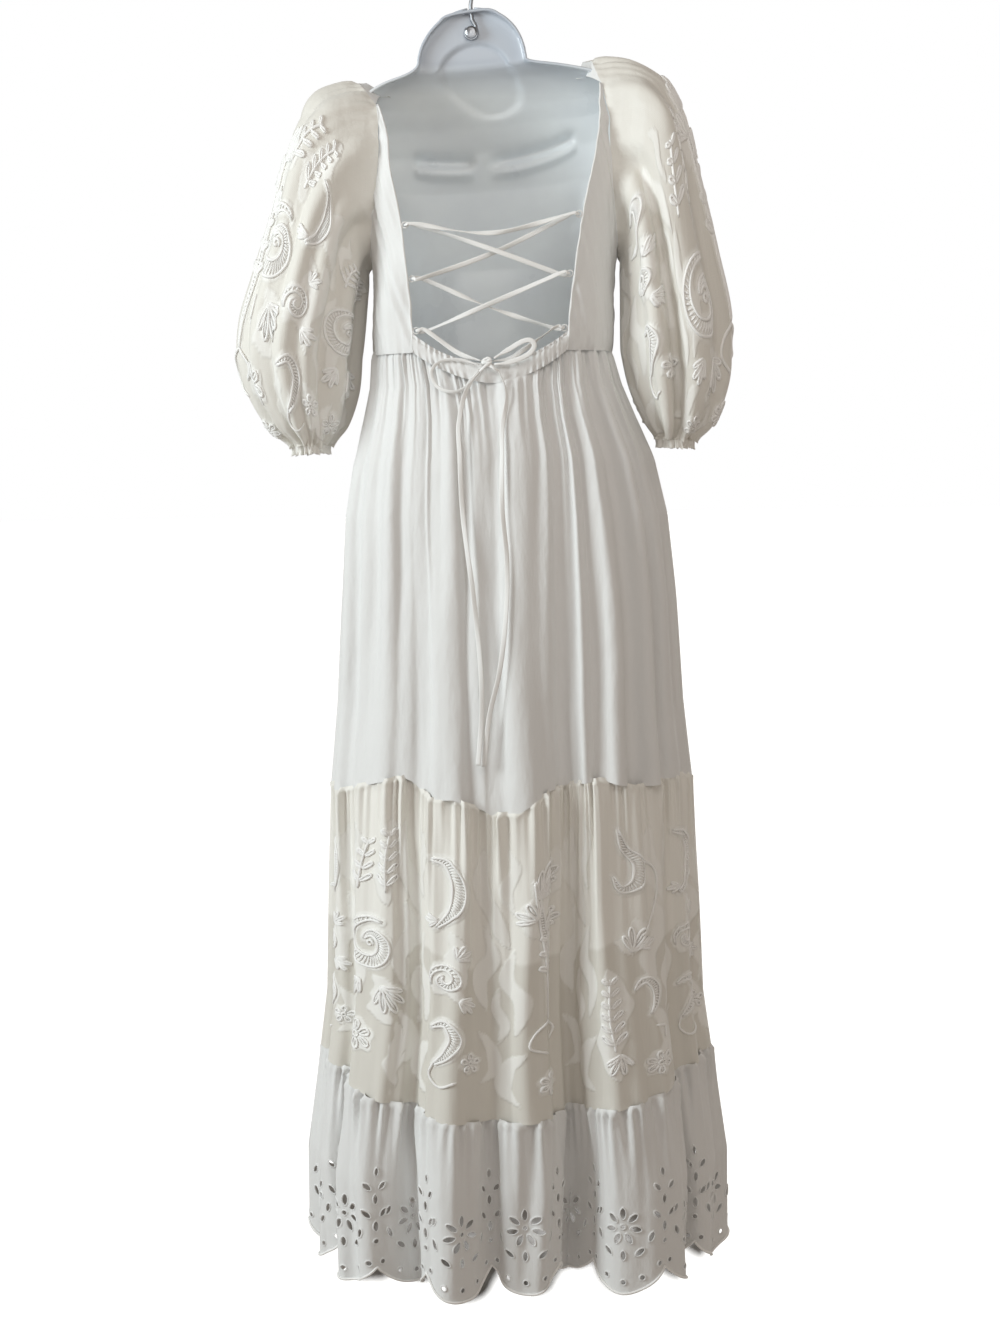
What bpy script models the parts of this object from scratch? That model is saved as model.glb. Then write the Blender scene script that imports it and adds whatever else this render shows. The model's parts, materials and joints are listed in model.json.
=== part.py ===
# Laced-back maxi dress on a hollow hanging torso form, held up by a wire hook.
# Metres, +Z up. The laced back faces -Y, the dress front faces +Y.
# The origin is where the hook's crook rests on a rod: the inner top of the crook.

import math

import bpy
import numpy as np

# ---------------------------------------------------------------- driving sizes
CLOTH_WALL = 0.0016          # thickness of every cloth wall
SEAM_GAP = 0.0003            # clear gap between two sewn pieces
FORM_WALL = 0.0024           # moulded plastic shell

WAIST_Z = -0.440             # waist seam at the sides and front
WAIST_DIP = 0.035            # how far the waist seam drops at the middle of the back
CASING_HEIGHT = 0.021        # elastic casing under the open back
SEAM_ONE_Z = -0.921          # upper tier to middle tier, on average
SEAM_TWO_Z = -1.282          # middle tier to lower tier
SEAM_TWO_RISE = 0.045        # how far that seam rises at the sides
HEM_BACK_Z = -1.479          # scallop tips at the back
HEM_FRONT_Z = -1.472         # scallop tips at the front
SCALLOP_COUNT = 18           # scallops round the hem
SCALLOP_DEPTH = 0.027

NECK_HALF = 0.092            # half-width of the square front neckline

ARMHOLE_Z = -0.232           # middle of the armhole loop
ARMHOLE_HALF_HEIGHT = 0.1045
ARMHOLE_HALF_DEPTH = 0.055
ARMHOLE_Y = 0.012
SHOULDER_EASE = 0.008        # how far the sleeve head moves out over the shoulder

TAB_CENTRE_Z = -0.1215       # round hang tab on top of the form
TAB_RADIUS = 0.0595
RIVET_Z = -0.087

HOOK_WIRE = 0.0022           # radius of the hook's wire
CROOK_RADIUS = 0.0200        # inner radius of the crook
LACE_RADIUS = 0.0016         # the flat lace stands as a round tube
LOOP_RING = 0.0034           # loops for the lace: ring radius and cord radius
LOOP_CORD = 0.0008
LOOP_STEPS = 9

STEPS_PER_HALF = 46          # columns of each half tier
HALF_TURN = math.pi / 2
SIDE_SLIT = math.radians(0.06)

# Body sections: height, half-width, back y, front y, squareness of the outline.
BODY_COLUMNS = ("z", "half_width", "back_y", "front_y", "squareness")
BODY_SECTIONS = np.array([
    (-1.500, 0.256, -0.184, 0.196, 2.0),
    (-1.360, 0.253, -0.180, 0.190, 2.0),
    (-1.280, 0.240, -0.173, 0.182, 2.0),
    (-1.170, 0.224, -0.166, 0.172, 2.0),
    (-1.060, 0.219, -0.158, 0.164, 2.0),
    (-0.928, 0.212, -0.148, 0.154, 2.0),
    (-0.830, 0.201, -0.138, 0.145, 2.0),
    (-0.720, 0.193, -0.127, 0.135, 2.1),
    (-0.620, 0.184, -0.115, 0.125, 2.2),
    (-0.560, 0.171, -0.107, 0.118, 2.3),
    (-0.510, 0.153, -0.099, 0.111, 2.4),
    (-0.475, 0.141, -0.092, 0.106, 2.6),
    (-0.440, 0.134, -0.085, 0.101, 3.0),
    (-0.385, 0.135, -0.084, 0.108, 3.2),
    (-0.336, 0.137, -0.083, 0.112, 3.2),
    (-0.290, 0.138, -0.080, 0.112, 3.2),
    (-0.240, 0.139, -0.076, 0.104, 3.2),
    (-0.195, 0.139, -0.066, 0.090, 3.2),
    (-0.160, 0.139, -0.045, 0.064, 3.2),
    (-0.140, 0.139, -0.020, 0.034, 3.2),
])

# How the dress and the form hang under the hook: their sideways shift by height, and
# the tilt of the shoulders, which fades out above the waist.
HANG_SHIFT = np.array([
    # z, shift_x
    (-1.500, 0.031),
    (-0.700, 0.031),
    (-0.550, 0.028),
    (-0.440, 0.018),
    (-0.200, 0.025),
    (-0.160, 0.020),
    (-0.124, 0.000),
])
SHOULDER_TILT = 0.070
TILT_FROM_Z, TILT_FULL_Z = -0.420, -0.200

# Half-width of the open back by height.
OPENING_EDGE = np.array([
    # z, half_width
    (-0.440, 0.0840),
    (-0.385, 0.0880),
    (-0.336, 0.0930),
    (-0.290, 0.1010),
    (-0.240, 0.1100),
    (-0.195, 0.1170),
    (-0.150, 0.1230),
])

# Lengthwise folds of the skirt: angle from the middle of the back towards +X and
# width, in degrees, and the inward depth at the waist, at both seams and at the hem.
SKIRT_FOLDS = np.array([
    # angle, width, waist, seam_one, seam_two, hem
    (-80.0, 6.0, 0.003, 0.010, 0.018, 0.026),
    (-62.0, 6.0, 0.004, 0.014, 0.024, 0.034),
    (-47.0, 4.5, 0.005, 0.008, 0.004, 0.008),
    (-31.0, 5.0, 0.006, 0.020, 0.036, 0.054),
    (-19.0, 4.0, 0.006, 0.009, 0.004, 0.006),
    (-6.5, 4.5, 0.006, 0.018, 0.032, 0.048),
    (6.0, 11.0, 0.000, 0.005, 0.020, 0.032),
    (19.5, 6.0, 0.006, 0.024, 0.058, 0.094),
    (33.0, 4.0, 0.005, 0.008, 0.005, 0.008),
    (45.0, 4.5, 0.005, 0.010, 0.006, 0.010),
    (60.0, 5.5, 0.005, 0.016, 0.030, 0.044),
    (77.0, 6.0, 0.003, 0.010, 0.018, 0.026),
    (96.0, 5.5, 0.004, 0.014, 0.026, 0.040),
    (114.0, 5.0, 0.005, 0.018, 0.034, 0.050),
    (131.0, 6.0, 0.004, 0.012, 0.022, 0.034),
    (149.0, 5.0, 0.006, 0.018, 0.034, 0.052),
    (166.0, 6.0, 0.004, 0.014, 0.026, 0.038),
    (184.0, 5.0, 0.006, 0.020, 0.036, 0.056),
    (201.0, 6.0, 0.004, 0.012, 0.024, 0.036),
    (219.0, 5.0, 0.006, 0.018, 0.032, 0.050),
    (237.0, 6.0, 0.004, 0.014, 0.026, 0.040),
    (256.0, 5.5, 0.004, 0.014, 0.028, 0.042),
])

# How the seam under the upper tier rises and falls: angle in degrees and rise.
SEAM_WAVE = np.array([
    # angle, rise
    (-70, -0.006),
    (-35, 0.018),
    (-24, -0.004),
    (-16, -0.002),
    (-5, -0.020),
    (3, -0.018),
    (14, 0.006),
    (30, 0.015),
    (43, 0.003),
    (71, 0.008),
    (100, -0.005),
    (128, 0.010),
    (155, -0.008),
    (182, 0.006),
    (210, -0.010),
    (240, 0.008),
    (265, -0.004),
])

# Sleeve sections for the +X side: the outer and the inner point of each section in
# the XZ plane, its half-depth along Y and the y of its middle.
SLEEVE_SECTIONS = (
    # out_x, out_z, in_x, in_z, half_depth, mid_y
    (0.1500, -0.1265, 0.1425, -0.3420, 0.066, 0.012),
    (0.1790, -0.1350, 0.1435, -0.3480, 0.076, 0.010),
    (0.2040, -0.1600, 0.1440, -0.3580, 0.082, 0.008),
    (0.2240, -0.2050, 0.1450, -0.3700, 0.085, 0.006),
    (0.2400, -0.2680, 0.1460, -0.3880, 0.086, 0.004),
    (0.2580, -0.3350, 0.1470, -0.4120, 0.086, 0.002),
    (0.2750, -0.4020, 0.1490, -0.4410, 0.084, 0.000),
    (0.2740, -0.4620, 0.1550, -0.4790, 0.077, 0.000),
    (0.2530, -0.5140, 0.1680, -0.5140, 0.062, 0.000),
    (0.2320, -0.5340, 0.1810, -0.5310, 0.047, 0.000),
    (0.2270, -0.5390, 0.1850, -0.5370, 0.043, 0.000),
)
SLEEVE_LEAN = {"left": 0.012, "right": -0.012}   # how far each sleeve hangs further out
CUFF_HEIGHT = 0.009
SLEEVE_STEPS = 24

# Lengthwise folds of each sleeve: angle round the section (0 outer, 90 back,
# 180 inner), width, inward depth, and the sections between which the fold runs.
SLEEVE_FOLDS = {
    "right": (
        # angle, width, depth, first, last
        (98.0, 13.0, 0.015, 0.0, 8.5),
        (52.0, 11.0, 0.006, 3.0, 10.0),
        (140.0, 12.0, 0.005, 4.0, 10.0),
        (250.0, 14.0, 0.010, 0.0, 8.0),
        (310.0, 12.0, 0.006, 3.0, 10.0),
    ),
    "left": (
        (122.0, 12.0, 0.009, 0.0, 8.0),
        (74.0, 12.0, 0.007, 1.0, 10.0),
        (38.0, 11.0, 0.005, 3.0, 10.0),
        (262.0, 14.0, 0.009, 0.0, 8.0),
        (318.0, 12.0, 0.006, 3.0, 10.0),
    ),
}

# Torso form below the tab: height, half-width, rim y and front y.
FORM_SECTIONS = (
    # z, half_width, rim_y, front_y
    (-0.1230, 0.0610, -0.0040, 0.0065),
    (-0.1285, 0.0810, -0.0060, 0.0115),
    (-0.1350, 0.1080, -0.0080, 0.0200),
    (-0.1450, 0.1310, -0.0100, 0.0300),
    (-0.1580, 0.1520, -0.0110, 0.0420),
    (-0.1780, 0.1660, -0.0120, 0.0580),
    (-0.2050, 0.1690, -0.0120, 0.0760),
    (-0.2450, 0.1590, -0.0120, 0.0930),
    (-0.2900, 0.1400, -0.0120, 0.1020),
    (-0.3360, 0.1240, -0.0120, 0.1030),
    (-0.3850, 0.1210, -0.0120, 0.0980),
    (-0.4400, 0.1180, -0.0120, 0.0910),
    (-0.5000, 0.1260, -0.0120, 0.0950),
    (-0.5700, 0.1380, -0.0120, 0.1020),
    (-0.6400, 0.1440, -0.0120, 0.1050),
    (-0.7000, 0.1440, -0.0120, 0.1040),
)
FORM_STEPS = 16
FORM_SQUARENESS = 2.5

# Loops for the lace on each edge of the open back: heights, top to bottom.
LOOP_HEIGHTS = (-0.298, -0.359, -0.416)

# Free ends and bow of the lace: x and z on the skirt back, and the height above it.
LEFT_TAIL = (
    # x, z, lift
    (-0.0125, -0.4620, 0.0072), (-0.0290, -0.4820, 0.0086), (-0.0390, -0.5100, 0.0060), (-0.0430, -0.5383, 0.0028),
    (-0.0420, -0.6164, 0.0028), (-0.0335, -0.7018, 0.0028), (-0.0275, -0.7694, 0.0028), (-0.0260, -0.8241, 0.0028),
    (-0.0310, -0.8846, 0.0028),
)
RIGHT_TAIL = (
    (0.0080, -0.4620, 0.0066), (0.0140, -0.4880, 0.0050), (0.0040, -0.5327, 0.0028), (0.0007, -0.6042, 0.0028),
    (0.0039, -0.6645, 0.0028), (0.0010, -0.7284, 0.0028), (-0.0065, -0.7849, 0.0028), (-0.0182, -0.8330, 0.0028),
    (-0.0250, -0.8869, 0.0028),
)
LEFT_BOW = (
    (-0.0130, -0.4545, 0.0060), (-0.0320, -0.4490, 0.0050), (-0.0541, -0.4500, 0.0036), (-0.0652, -0.4615, 0.0034),
    (-0.0606, -0.4770, 0.0034), (-0.0450, -0.4830, 0.0034), (-0.0310, -0.4790, 0.0036), (-0.0180, -0.4650, 0.0042),
    (-0.0130, -0.4595, 0.0040),
)
RIGHT_BOW = (
    (0.0040, -0.4480, 0.0066), (0.0226, -0.4380, 0.0080), (0.0360, -0.4305, 0.0100), (0.0455, -0.4300, 0.0110),
    (0.0484, -0.4370, 0.0110), (0.0400, -0.4455, 0.0090), (0.0210, -0.4525, 0.0080), (0.0040, -0.4545, 0.0066),
)
KNOT_X = -0.0036
KNOT_Z = -0.4515

COLOURS = {
    "cotton": ((0.80, 0.79, 0.77), 0.85, 0.0),
    "organza": ((0.72, 0.68, 0.59), 0.70, 0.0),
    "lace": ((0.86, 0.85, 0.82), 0.75, 0.0),
    "plastic": ((0.50, 0.54, 0.62), 0.30, 0.0),
    "steel": ((0.55, 0.56, 0.58), 0.30, 1.0),
}


# ---------------------------------------------------------------- scene and mesh helpers
def clear_scene():
    for item in list(bpy.data.objects):
        bpy.data.objects.remove(item, do_unlink=True)


def make_material(name, finish):
    colour, roughness, metallic = COLOURS[finish]
    material = bpy.data.materials.new(name)
    material.use_nodes = True
    shader = material.node_tree.nodes["Principled BSDF"]
    shader.inputs["Base Color"].default_value = (*colour, 1.0)
    shader.inputs["Roughness"].default_value = roughness
    shader.inputs["Metallic"].default_value = metallic
    return material


def settle(points):
    """Where points of the straight pattern come to hang under the hook."""
    points = np.array(points, dtype=float)
    x, z = points[:, 0].copy(), points[:, 2].copy()
    rise = np.clip((z - TILT_FROM_Z) / (TILT_FULL_Z - TILT_FROM_Z), 0, 1)
    points[:, 0] += np.interp(z, HANG_SHIFT[:, 0], HANG_SHIFT[:, 1])
    points[:, 2] += SHOULDER_TILT * x * rise ** 2 * (3 - 2 * rise)
    return points


def add_mesh(name, points, faces, finish):
    mesh = bpy.data.meshes.new(name)
    mesh.from_pydata([tuple(map(float, point)) for point in points], [], faces)
    mesh.materials.append(make_material(name, finish))
    mesh.shade_smooth()
    piece = bpy.data.objects.new(name, mesh)
    bpy.context.collection.objects.link(piece)
    return piece


def wall_faces(row_count, column_count, closed, keep=None):
    """Faces of a wall between an outer grid and an inner grid of the same size."""
    spans = column_count if closed else column_count - 1
    inner_start = row_count * column_count
    used = {(row, span) for row in range(row_count - 1) for span in range(spans)
            if keep is None or keep(row, span)}

    def corner(row, column):
        return row * column_count + column % column_count

    faces = []
    for row, span in sorted(used):
        low_left, low_right = corner(row, span), corner(row, span + 1)
        top_left, top_right = corner(row + 1, span), corner(row + 1, span + 1)
        faces.append((low_left, low_right, top_right, top_left))
        faces.append(tuple(inner_start + index for index in (top_left, top_right, low_right, low_left)))
        left = (span - 1) % spans if closed else span - 1
        right = (span + 1) % spans if closed else span + 1
        sides = (((row - 1, span), low_right, low_left), ((row + 1, span), top_left, top_right),
                 ((row, left), low_left, top_left), ((row, right), top_right, low_right))
        for neighbour, first, second in sides:
            if neighbour not in used:
                faces.append((first, second, inner_start + second, inner_start + first))
    return faces


def add_wall(name, outer, inner, finish, closed=False, keep=None):
    """A wall from two grids [row][column][xyz] whose rows run upwards, seen from outside."""
    rows, columns = outer.shape[:2]
    points = np.concatenate([outer.reshape(-1, 3), inner.reshape(-1, 3)])
    faces = wall_faces(rows, columns, closed, keep)
    used = sorted({index for face in faces for index in face})
    place = {index: position for position, index in enumerate(used)}
    return add_mesh(name, settle(points[used]), [tuple(place[i] for i in face) for face in faces], finish)


def smooth_path(points, spacing, tight_places=(), tight_spacing=None):
    """Points read from a smooth curve through the given points, closer near the tight places."""
    points = np.array(points, dtype=float)
    padded = np.vstack([2 * points[0] - points[1], points, 2 * points[-1] - points[-2]])
    dense = []
    for index in range(1, len(padded) - 2):
        before, start, end, after = padded[index - 1:index + 3]
        for t in np.linspace(0, 1, 24, endpoint=False):
            dense.append(0.5 * ((2 * start) + (end - before) * t + (2 * before - 5 * start + 4 * end - after)
                                * t ** 2 + (3 * start - before - 3 * end + after) * t ** 3))
    dense.append(points[-1])
    dense = np.array(dense)
    step = np.full(len(dense), float(spacing))
    for place in tight_places:
        step[np.linalg.norm(dense - place, axis=1) < 3 * tight_spacing] = tight_spacing
    lengths = np.linalg.norm(np.diff(dense, axis=0), axis=1)
    along = np.concatenate([[0], np.cumsum(lengths / step[1:])])
    marks = np.linspace(0, along[-1], max(3, int(round(along[-1])) + 1))
    return np.column_stack([np.interp(marks, along, dense[:, axis]) for axis in range(3)])


def add_cord(name, points, radius, finish, resolution=2, cyclic=False):
    curve = bpy.data.curves.new(name, "CURVE")
    curve.dimensions = "3D"
    curve.bevel_depth = radius
    curve.bevel_resolution = resolution
    curve.use_fill_caps = not cyclic
    spline = curve.splines.new("POLY")
    spline.points.add(len(points) - 1)
    for knot, point in zip(spline.points, points):
        knot.co = (*map(float, point), 1.0)
    spline.use_cyclic_u = cyclic
    curve.materials.append(make_material(name, finish))
    piece = bpy.data.objects.new(name, curve)
    bpy.context.collection.objects.link(piece)
    return piece


# ---------------------------------------------------------------- body and fold surface
def body_value(z, column):
    place = BODY_COLUMNS.index(column)
    return np.interp(z, BODY_SECTIONS[:, 0], BODY_SECTIONS[:, place])


def body_outline(theta, z):
    """The smooth body outline: theta is 0 at the middle of the back and 90 degrees at +X."""
    power = 2.0 / body_value(z, "squareness")
    half_width = body_value(z, "half_width")
    back, front = body_value(z, "back_y"), body_value(z, "front_y")
    sine, cosine = np.sin(theta), np.cos(theta)
    x = half_width * np.sign(sine) * np.abs(sine) ** power
    y = (back + front) / 2 - (front - back) / 2 * np.sign(cosine) * np.abs(cosine) ** power
    return np.stack([x, y, z + 0 * theta], axis=-1)


def fold_depth(theta, z):
    """Inward depth of the lengthwise folds at an angle and a height."""
    heights = (HEM_BACK_Z, SEAM_TWO_Z, SEAM_ONE_Z, WAIST_Z - WAIST_DIP)
    total = 0.0 * theta
    for angle, width, waist, seam_one, seam_two, hem in SKIRT_FOLDS:
        turn = np.degrees(theta) - angle
        turn = (turn + 180.0) % 360.0 - 180.0
        depth = np.interp(z, heights, (hem, seam_two, seam_one, waist))
        total = total + depth * np.exp(-(turn / width) ** 2)
    return total


def outward(curve, theta, z, step=1e-4):
    """Level outward normal of a closed outline at an angle."""
    along = curve(theta + step, z) - curve(theta - step, z)
    normal = np.stack([along[..., 1], -along[..., 0], 0 * along[..., 0]], axis=-1)
    return normal / np.linalg.norm(normal, axis=-1, keepdims=True)


def folded_outline(theta, z):
    depth = fold_depth(theta, z)[..., None]
    return body_outline(theta, z) - outward(body_outline, theta, z) * depth


def add_body_wall(name, theta, z, surface, finish, closed=False, keep=None, wall=CLOTH_WALL):
    """A cloth wall on a surface, from grids of angles and heights."""
    outer = surface(theta, z)
    inner = outer - outward(surface, theta, z) * wall
    return add_wall(name, outer, inner, finish, closed, keep)


# ---------------------------------------------------------------- bodice
def angle_at_x(x, z):
    """Angle on the back half where the outline is x from the middle."""
    share = np.clip(x / body_value(z, "half_width"), 0, 1)
    return np.arcsin(share ** (body_value(z, "squareness") / 2))


def armhole_angle(z, side):
    """Angle of the armhole edge, on the back (side -1) or the front (side 1)."""
    reach = (z - ARMHOLE_Z) / ARMHOLE_HALF_HEIGHT
    if abs(reach) > 0.9999:
        return HALF_TURN + side * SIDE_SLIT
    edge_y = ARMHOLE_Y + side * ARMHOLE_HALF_DEPTH * math.sqrt(1 - reach ** 2)
    back, front = body_value(z, "back_y"), body_value(z, "front_y")
    share = (edge_y - (back + front) / 2) / ((front - back) / 2)
    cosine = -np.sign(share) * min(abs(share), 1.0) ** (body_value(z, "squareness") / 2)
    angle = math.acos(cosine)
    if side < 0:
        return min(angle, HALF_TURN - SIDE_SLIT)
    return max(angle, HALF_TURN + SIDE_SLIT)


def armhole_level(step):
    """Height of one of the sleeve's columns on the armhole loop, counted from its top."""
    return ARMHOLE_Z + ARMHOLE_HALF_HEIGHT * math.cos(2 * math.pi * step / SLEEVE_STEPS)


UNDERARM_STEP, NECK_STEP, STRAP_STEP = SLEEVE_STEPS // 2, 5, 3
BODICE_HEIGHTS = [WAIST_Z + SEAM_GAP, -0.405, -0.370]
BODICE_HEIGHTS += [armhole_level(step) for step in range(UNDERARM_STEP, STRAP_STEP - 1, -1)]


def add_bodice_back(side, name):
    columns = 7
    theta = []
    for z in BODICE_HEIGHTS:
        opening = angle_at_x(np.interp(z, OPENING_EDGE[:, 0], OPENING_EDGE[:, 1]), z)
        edge = armhole_angle(z, -1)
        theta.append(np.linspace(opening, edge, columns))
    theta = np.array(theta)
    if side < 0:
        theta = -theta[:, ::-1]
    z = np.array(BODICE_HEIGHTS)[:, None] + 0 * theta
    return add_body_wall(name, theta, z, body_outline, "cotton")


def add_bodice_front():
    """The front panel: full width up to the neckline, then a strap on each side."""
    strap, middle = 3, 12
    theta = []
    for z in BODICE_HEIGHTS:
        edge = armhole_angle(z, 1)
        neck = math.pi - angle_at_x(NECK_HALF, z)
        left = np.linspace(edge, neck, strap + 1)
        centre = np.linspace(neck, 2 * math.pi - neck, middle + 1)[1:-1]
        theta.append(np.concatenate([left, centre, 2 * math.pi - left[::-1]]))
    theta = np.array(theta)
    z = np.array(BODICE_HEIGHTS)[:, None] + 0 * theta
    neck_row = BODICE_HEIGHTS.index(armhole_level(NECK_STEP))

    def keep(row, span):
        return row < neck_row or span < strap or span >= strap + middle

    return add_body_wall("bodice_front", theta, z, body_outline, "cotton", keep=keep)


def waist_height(theta, z=WAIST_Z):
    """Height of the skirt's top edge: it dips across the open back."""
    x = body_outline(theta, z + 0 * theta)[..., 0]
    half = OPENING_EDGE[0, 1]
    share = np.clip(1 - (x / half) ** 2, 0, 1) * (np.cos(theta) > 0)
    return z - WAIST_DIP * share


# ---------------------------------------------------------------- skirt tiers
def even_angles(start, end, count):
    """Angles that are evenly spaced along the folded hem."""
    dense = np.linspace(start, end, 3000)
    points = folded_outline(dense, HEM_BACK_Z + 0 * dense)
    along = np.concatenate([[0], np.cumsum(np.linalg.norm(np.diff(points, axis=0), axis=1))])
    return np.interp(np.linspace(0, along[-1], count), along, dense)


def back_angles():
    return even_angles(-HALF_TURN + SIDE_SLIT, HALF_TURN - SIDE_SLIT, STEPS_PER_HALF + 1)


def add_casing():
    """The elastic casing, whose columns stand over the skirt's own columns."""
    edge = angle_at_x(OPENING_EDGE[0, 1] - SEAM_GAP, WAIST_Z)
    columns = [angle for angle in back_angles() if abs(angle) < edge]
    theta = np.array([-edge, *columns, edge])[None, :].repeat(3, axis=0)
    low = waist_height(theta[0]) + 2 * SEAM_GAP
    z = low[None, :] + np.linspace(0, CASING_HEIGHT, 3)[:, None]
    return add_body_wall("waist_casing", theta, z, body_outline, "cotton")


def seam_one(theta):
    """The uneven seam under the upper tier."""
    return SEAM_ONE_Z + np.interp(np.degrees(theta), SEAM_WAVE[:, 0], SEAM_WAVE[:, 1], period=360)


def seam_two(theta):
    return SEAM_TWO_Z + SEAM_TWO_RISE * np.sin(theta) ** 2


def hem(theta, along):
    """The scalloped hem; along is the share of the way round, 0 to 1."""
    middle = (HEM_BACK_Z + HEM_FRONT_Z) / 2
    tips = middle + (HEM_BACK_Z - HEM_FRONT_Z) / 2 * np.cos(theta)
    wave = np.abs(np.sin(math.pi * SCALLOP_COUNT * along))
    return tips + SCALLOP_DEPTH * (1 - wave ** 0.8)


def add_tier(name, half, top, bottom, rows, finish):
    if half == "back":
        start, end, first_share = -HALF_TURN + SIDE_SLIT, HALF_TURN - SIDE_SLIT, 0.0
    else:
        start, end, first_share = HALF_TURN + SIDE_SLIT, 3 * HALF_TURN - SIDE_SLIT, 0.5
    angles = even_angles(start, end, STEPS_PER_HALF + 1)
    along = first_share + np.linspace(0, 0.5, STEPS_PER_HALF + 1)
    high, low = top(angles, along), bottom(angles, along)
    share = np.linspace(0, 1, rows + 1)[:, None]
    z = low[None, :] * (1 - share) + high[None, :] * share
    theta = angles[None, :].repeat(rows + 1, axis=0)
    return add_body_wall(name, theta, z, folded_outline, finish)


def add_skirt():
    tiers = (
        ("skirt_upper", lambda t, s: waist_height(t) - SEAM_GAP, lambda t, s: seam_one(t), 6, "cotton"),
        ("skirt_middle", lambda t, s: seam_one(t) - 2 * SEAM_GAP, lambda t, s: seam_two(t), 4, "organza"),
        ("skirt_lower", lambda t, s: seam_two(t) - SEAM_GAP, hem, 3, "cotton"),
    )
    for name, top, bottom, rows, finish in tiers:
        for half in ("back", "front"):
            add_tier(f"{name}_{half}", half, top, bottom, rows, finish)


# ---------------------------------------------------------------- sleeves
def sleeve_ring(side, section, row, wall_in=0.0):
    """One ring of a sleeve, wall_in inside its outer surface."""
    out_x, out_z, in_x, in_z, half_depth, mid_y = section
    out_x += SLEEVE_LEAN[side] * min(1.0, row / 3)
    in_x += SLEEVE_LEAN[side] * min(1.0, row / 10) ** 2
    turn = np.linspace(0, 2 * math.pi, SLEEVE_STEPS, endpoint=False)
    reach = math.hypot(out_x - in_x, out_z - in_z) / 2
    fold = 0 * turn
    for angle, width, depth, first, last in SLEEVE_FOLDS[side]:
        fade = np.clip((row - first + 1) / 2, 0, 1) * np.clip((last + 1 - row) / 2, 0, 1)
        away = (np.degrees(turn) - angle + 180) % 360 - 180
        fold = fold + depth * fade * np.exp(-(away / width) ** 2)
    along = (reach - wall_in - fold) * np.cos(turn)
    depth_y = -(half_depth - wall_in - fold) * np.sin(turn)
    unit_x, unit_z = (out_x - in_x) / (2 * reach), (out_z - in_z) / (2 * reach)
    x = (out_x + in_x) / 2 + unit_x * along
    z = (out_z + in_z) / 2 + unit_z * along
    return np.column_stack([x, mid_y + depth_y, z])


def armhole_ring(wall_in):
    """The sleeve's first ring, which stands a seam gap outside the bodice's armhole edge."""
    ring = []
    for step in range(SLEEVE_STEPS):
        turn = 2 * math.pi * step / SLEEVE_STEPS
        z = ARMHOLE_Z + (ARMHOLE_HALF_HEIGHT - wall_in) * math.cos(turn)
        y = ARMHOLE_Y - (ARMHOLE_HALF_DEPTH - wall_in) * math.sin(turn)
        from_top = min(step, SLEEVE_STEPS - step)
        edge_step = step if from_top >= STRAP_STEP else STRAP_STEP
        theta = armhole_angle(armhole_level(edge_step), -1 if turn < math.pi else 1)
        x = body_outline(np.array(theta), np.array(armhole_level(edge_step)))[0]
        over_shoulder = SHOULDER_EASE * max(0, STRAP_STEP - from_top) / STRAP_STEP
        ring.append((x + 1.5 * SEAM_GAP + over_shoulder, y, z))
    return np.array(ring)


def add_sleeve(side):
    mirror = np.array([1.0 if side == "right" else -1.0, 1.0, 1.0])
    outer, inner = [armhole_ring(0.0)], [armhole_ring(CLOTH_WALL)]
    for row, section in enumerate(SLEEVE_SECTIONS):
        outer.append(sleeve_ring(side, section, row))
        inner.append(sleeve_ring(side, section, row, CLOTH_WALL))
    outer, inner = np.array(outer) * mirror, np.array(inner) * mirror
    # rows run upwards, and the columns of the +X sleeve turn round so that faces point outwards
    outer, inner = outer[::-1], inner[::-1]
    if side == "right":
        outer, inner = outer[:, ::-1], inner[:, ::-1]
    add_wall(f"sleeve_{side}", outer, inner, "organza", closed=True)

    last = SLEEVE_SECTIONS[-1]
    rings = []
    for drop in (SEAM_GAP, SEAM_GAP + CUFF_HEIGHT):
        section = (last[0], last[1] - drop, last[2], last[3] - drop, last[4], last[5])
        rings.append(section)
    final_row = len(SLEEVE_SECTIONS) + 2
    outer = np.array([sleeve_ring(side, ring, final_row) for ring in rings[::-1]]) * mirror
    inner = np.array([sleeve_ring(side, ring, final_row, CLOTH_WALL) for ring in rings[::-1]]) * mirror
    if side == "right":
        outer, inner = outer[:, ::-1], inner[:, ::-1]
    add_wall(f"cuff_{side}", outer, inner, "organza", closed=True)


# ---------------------------------------------------------------- torso form
def form_rows():
    """Sections of the form from the bottom up, with the round tab on top."""
    rows = list(FORM_SECTIONS[::-1])
    for rise in (0.20, 0.42, 0.62, 0.78, 0.90, 0.97):
        z = TAB_CENTRE_Z + TAB_RADIUS * rise
        rows.append((z, TAB_RADIUS * math.sqrt(1 - rise ** 2), -0.0040, 0.0055))
    return rows


def form_ring(row, inset):
    """Half outline open towards -Y."""
    z, half_width, rim_y, front_y = row
    power = 2.0 / FORM_SQUARENESS
    turn = np.linspace(0, math.pi, FORM_STEPS + 1)
    x = (half_width - inset) * np.sign(np.cos(turn)) * np.abs(np.cos(turn)) ** power
    y = rim_y + (front_y - inset - rim_y) * np.abs(np.sin(turn)) ** power
    return np.column_stack([x, y, z + 0 * x])


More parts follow.
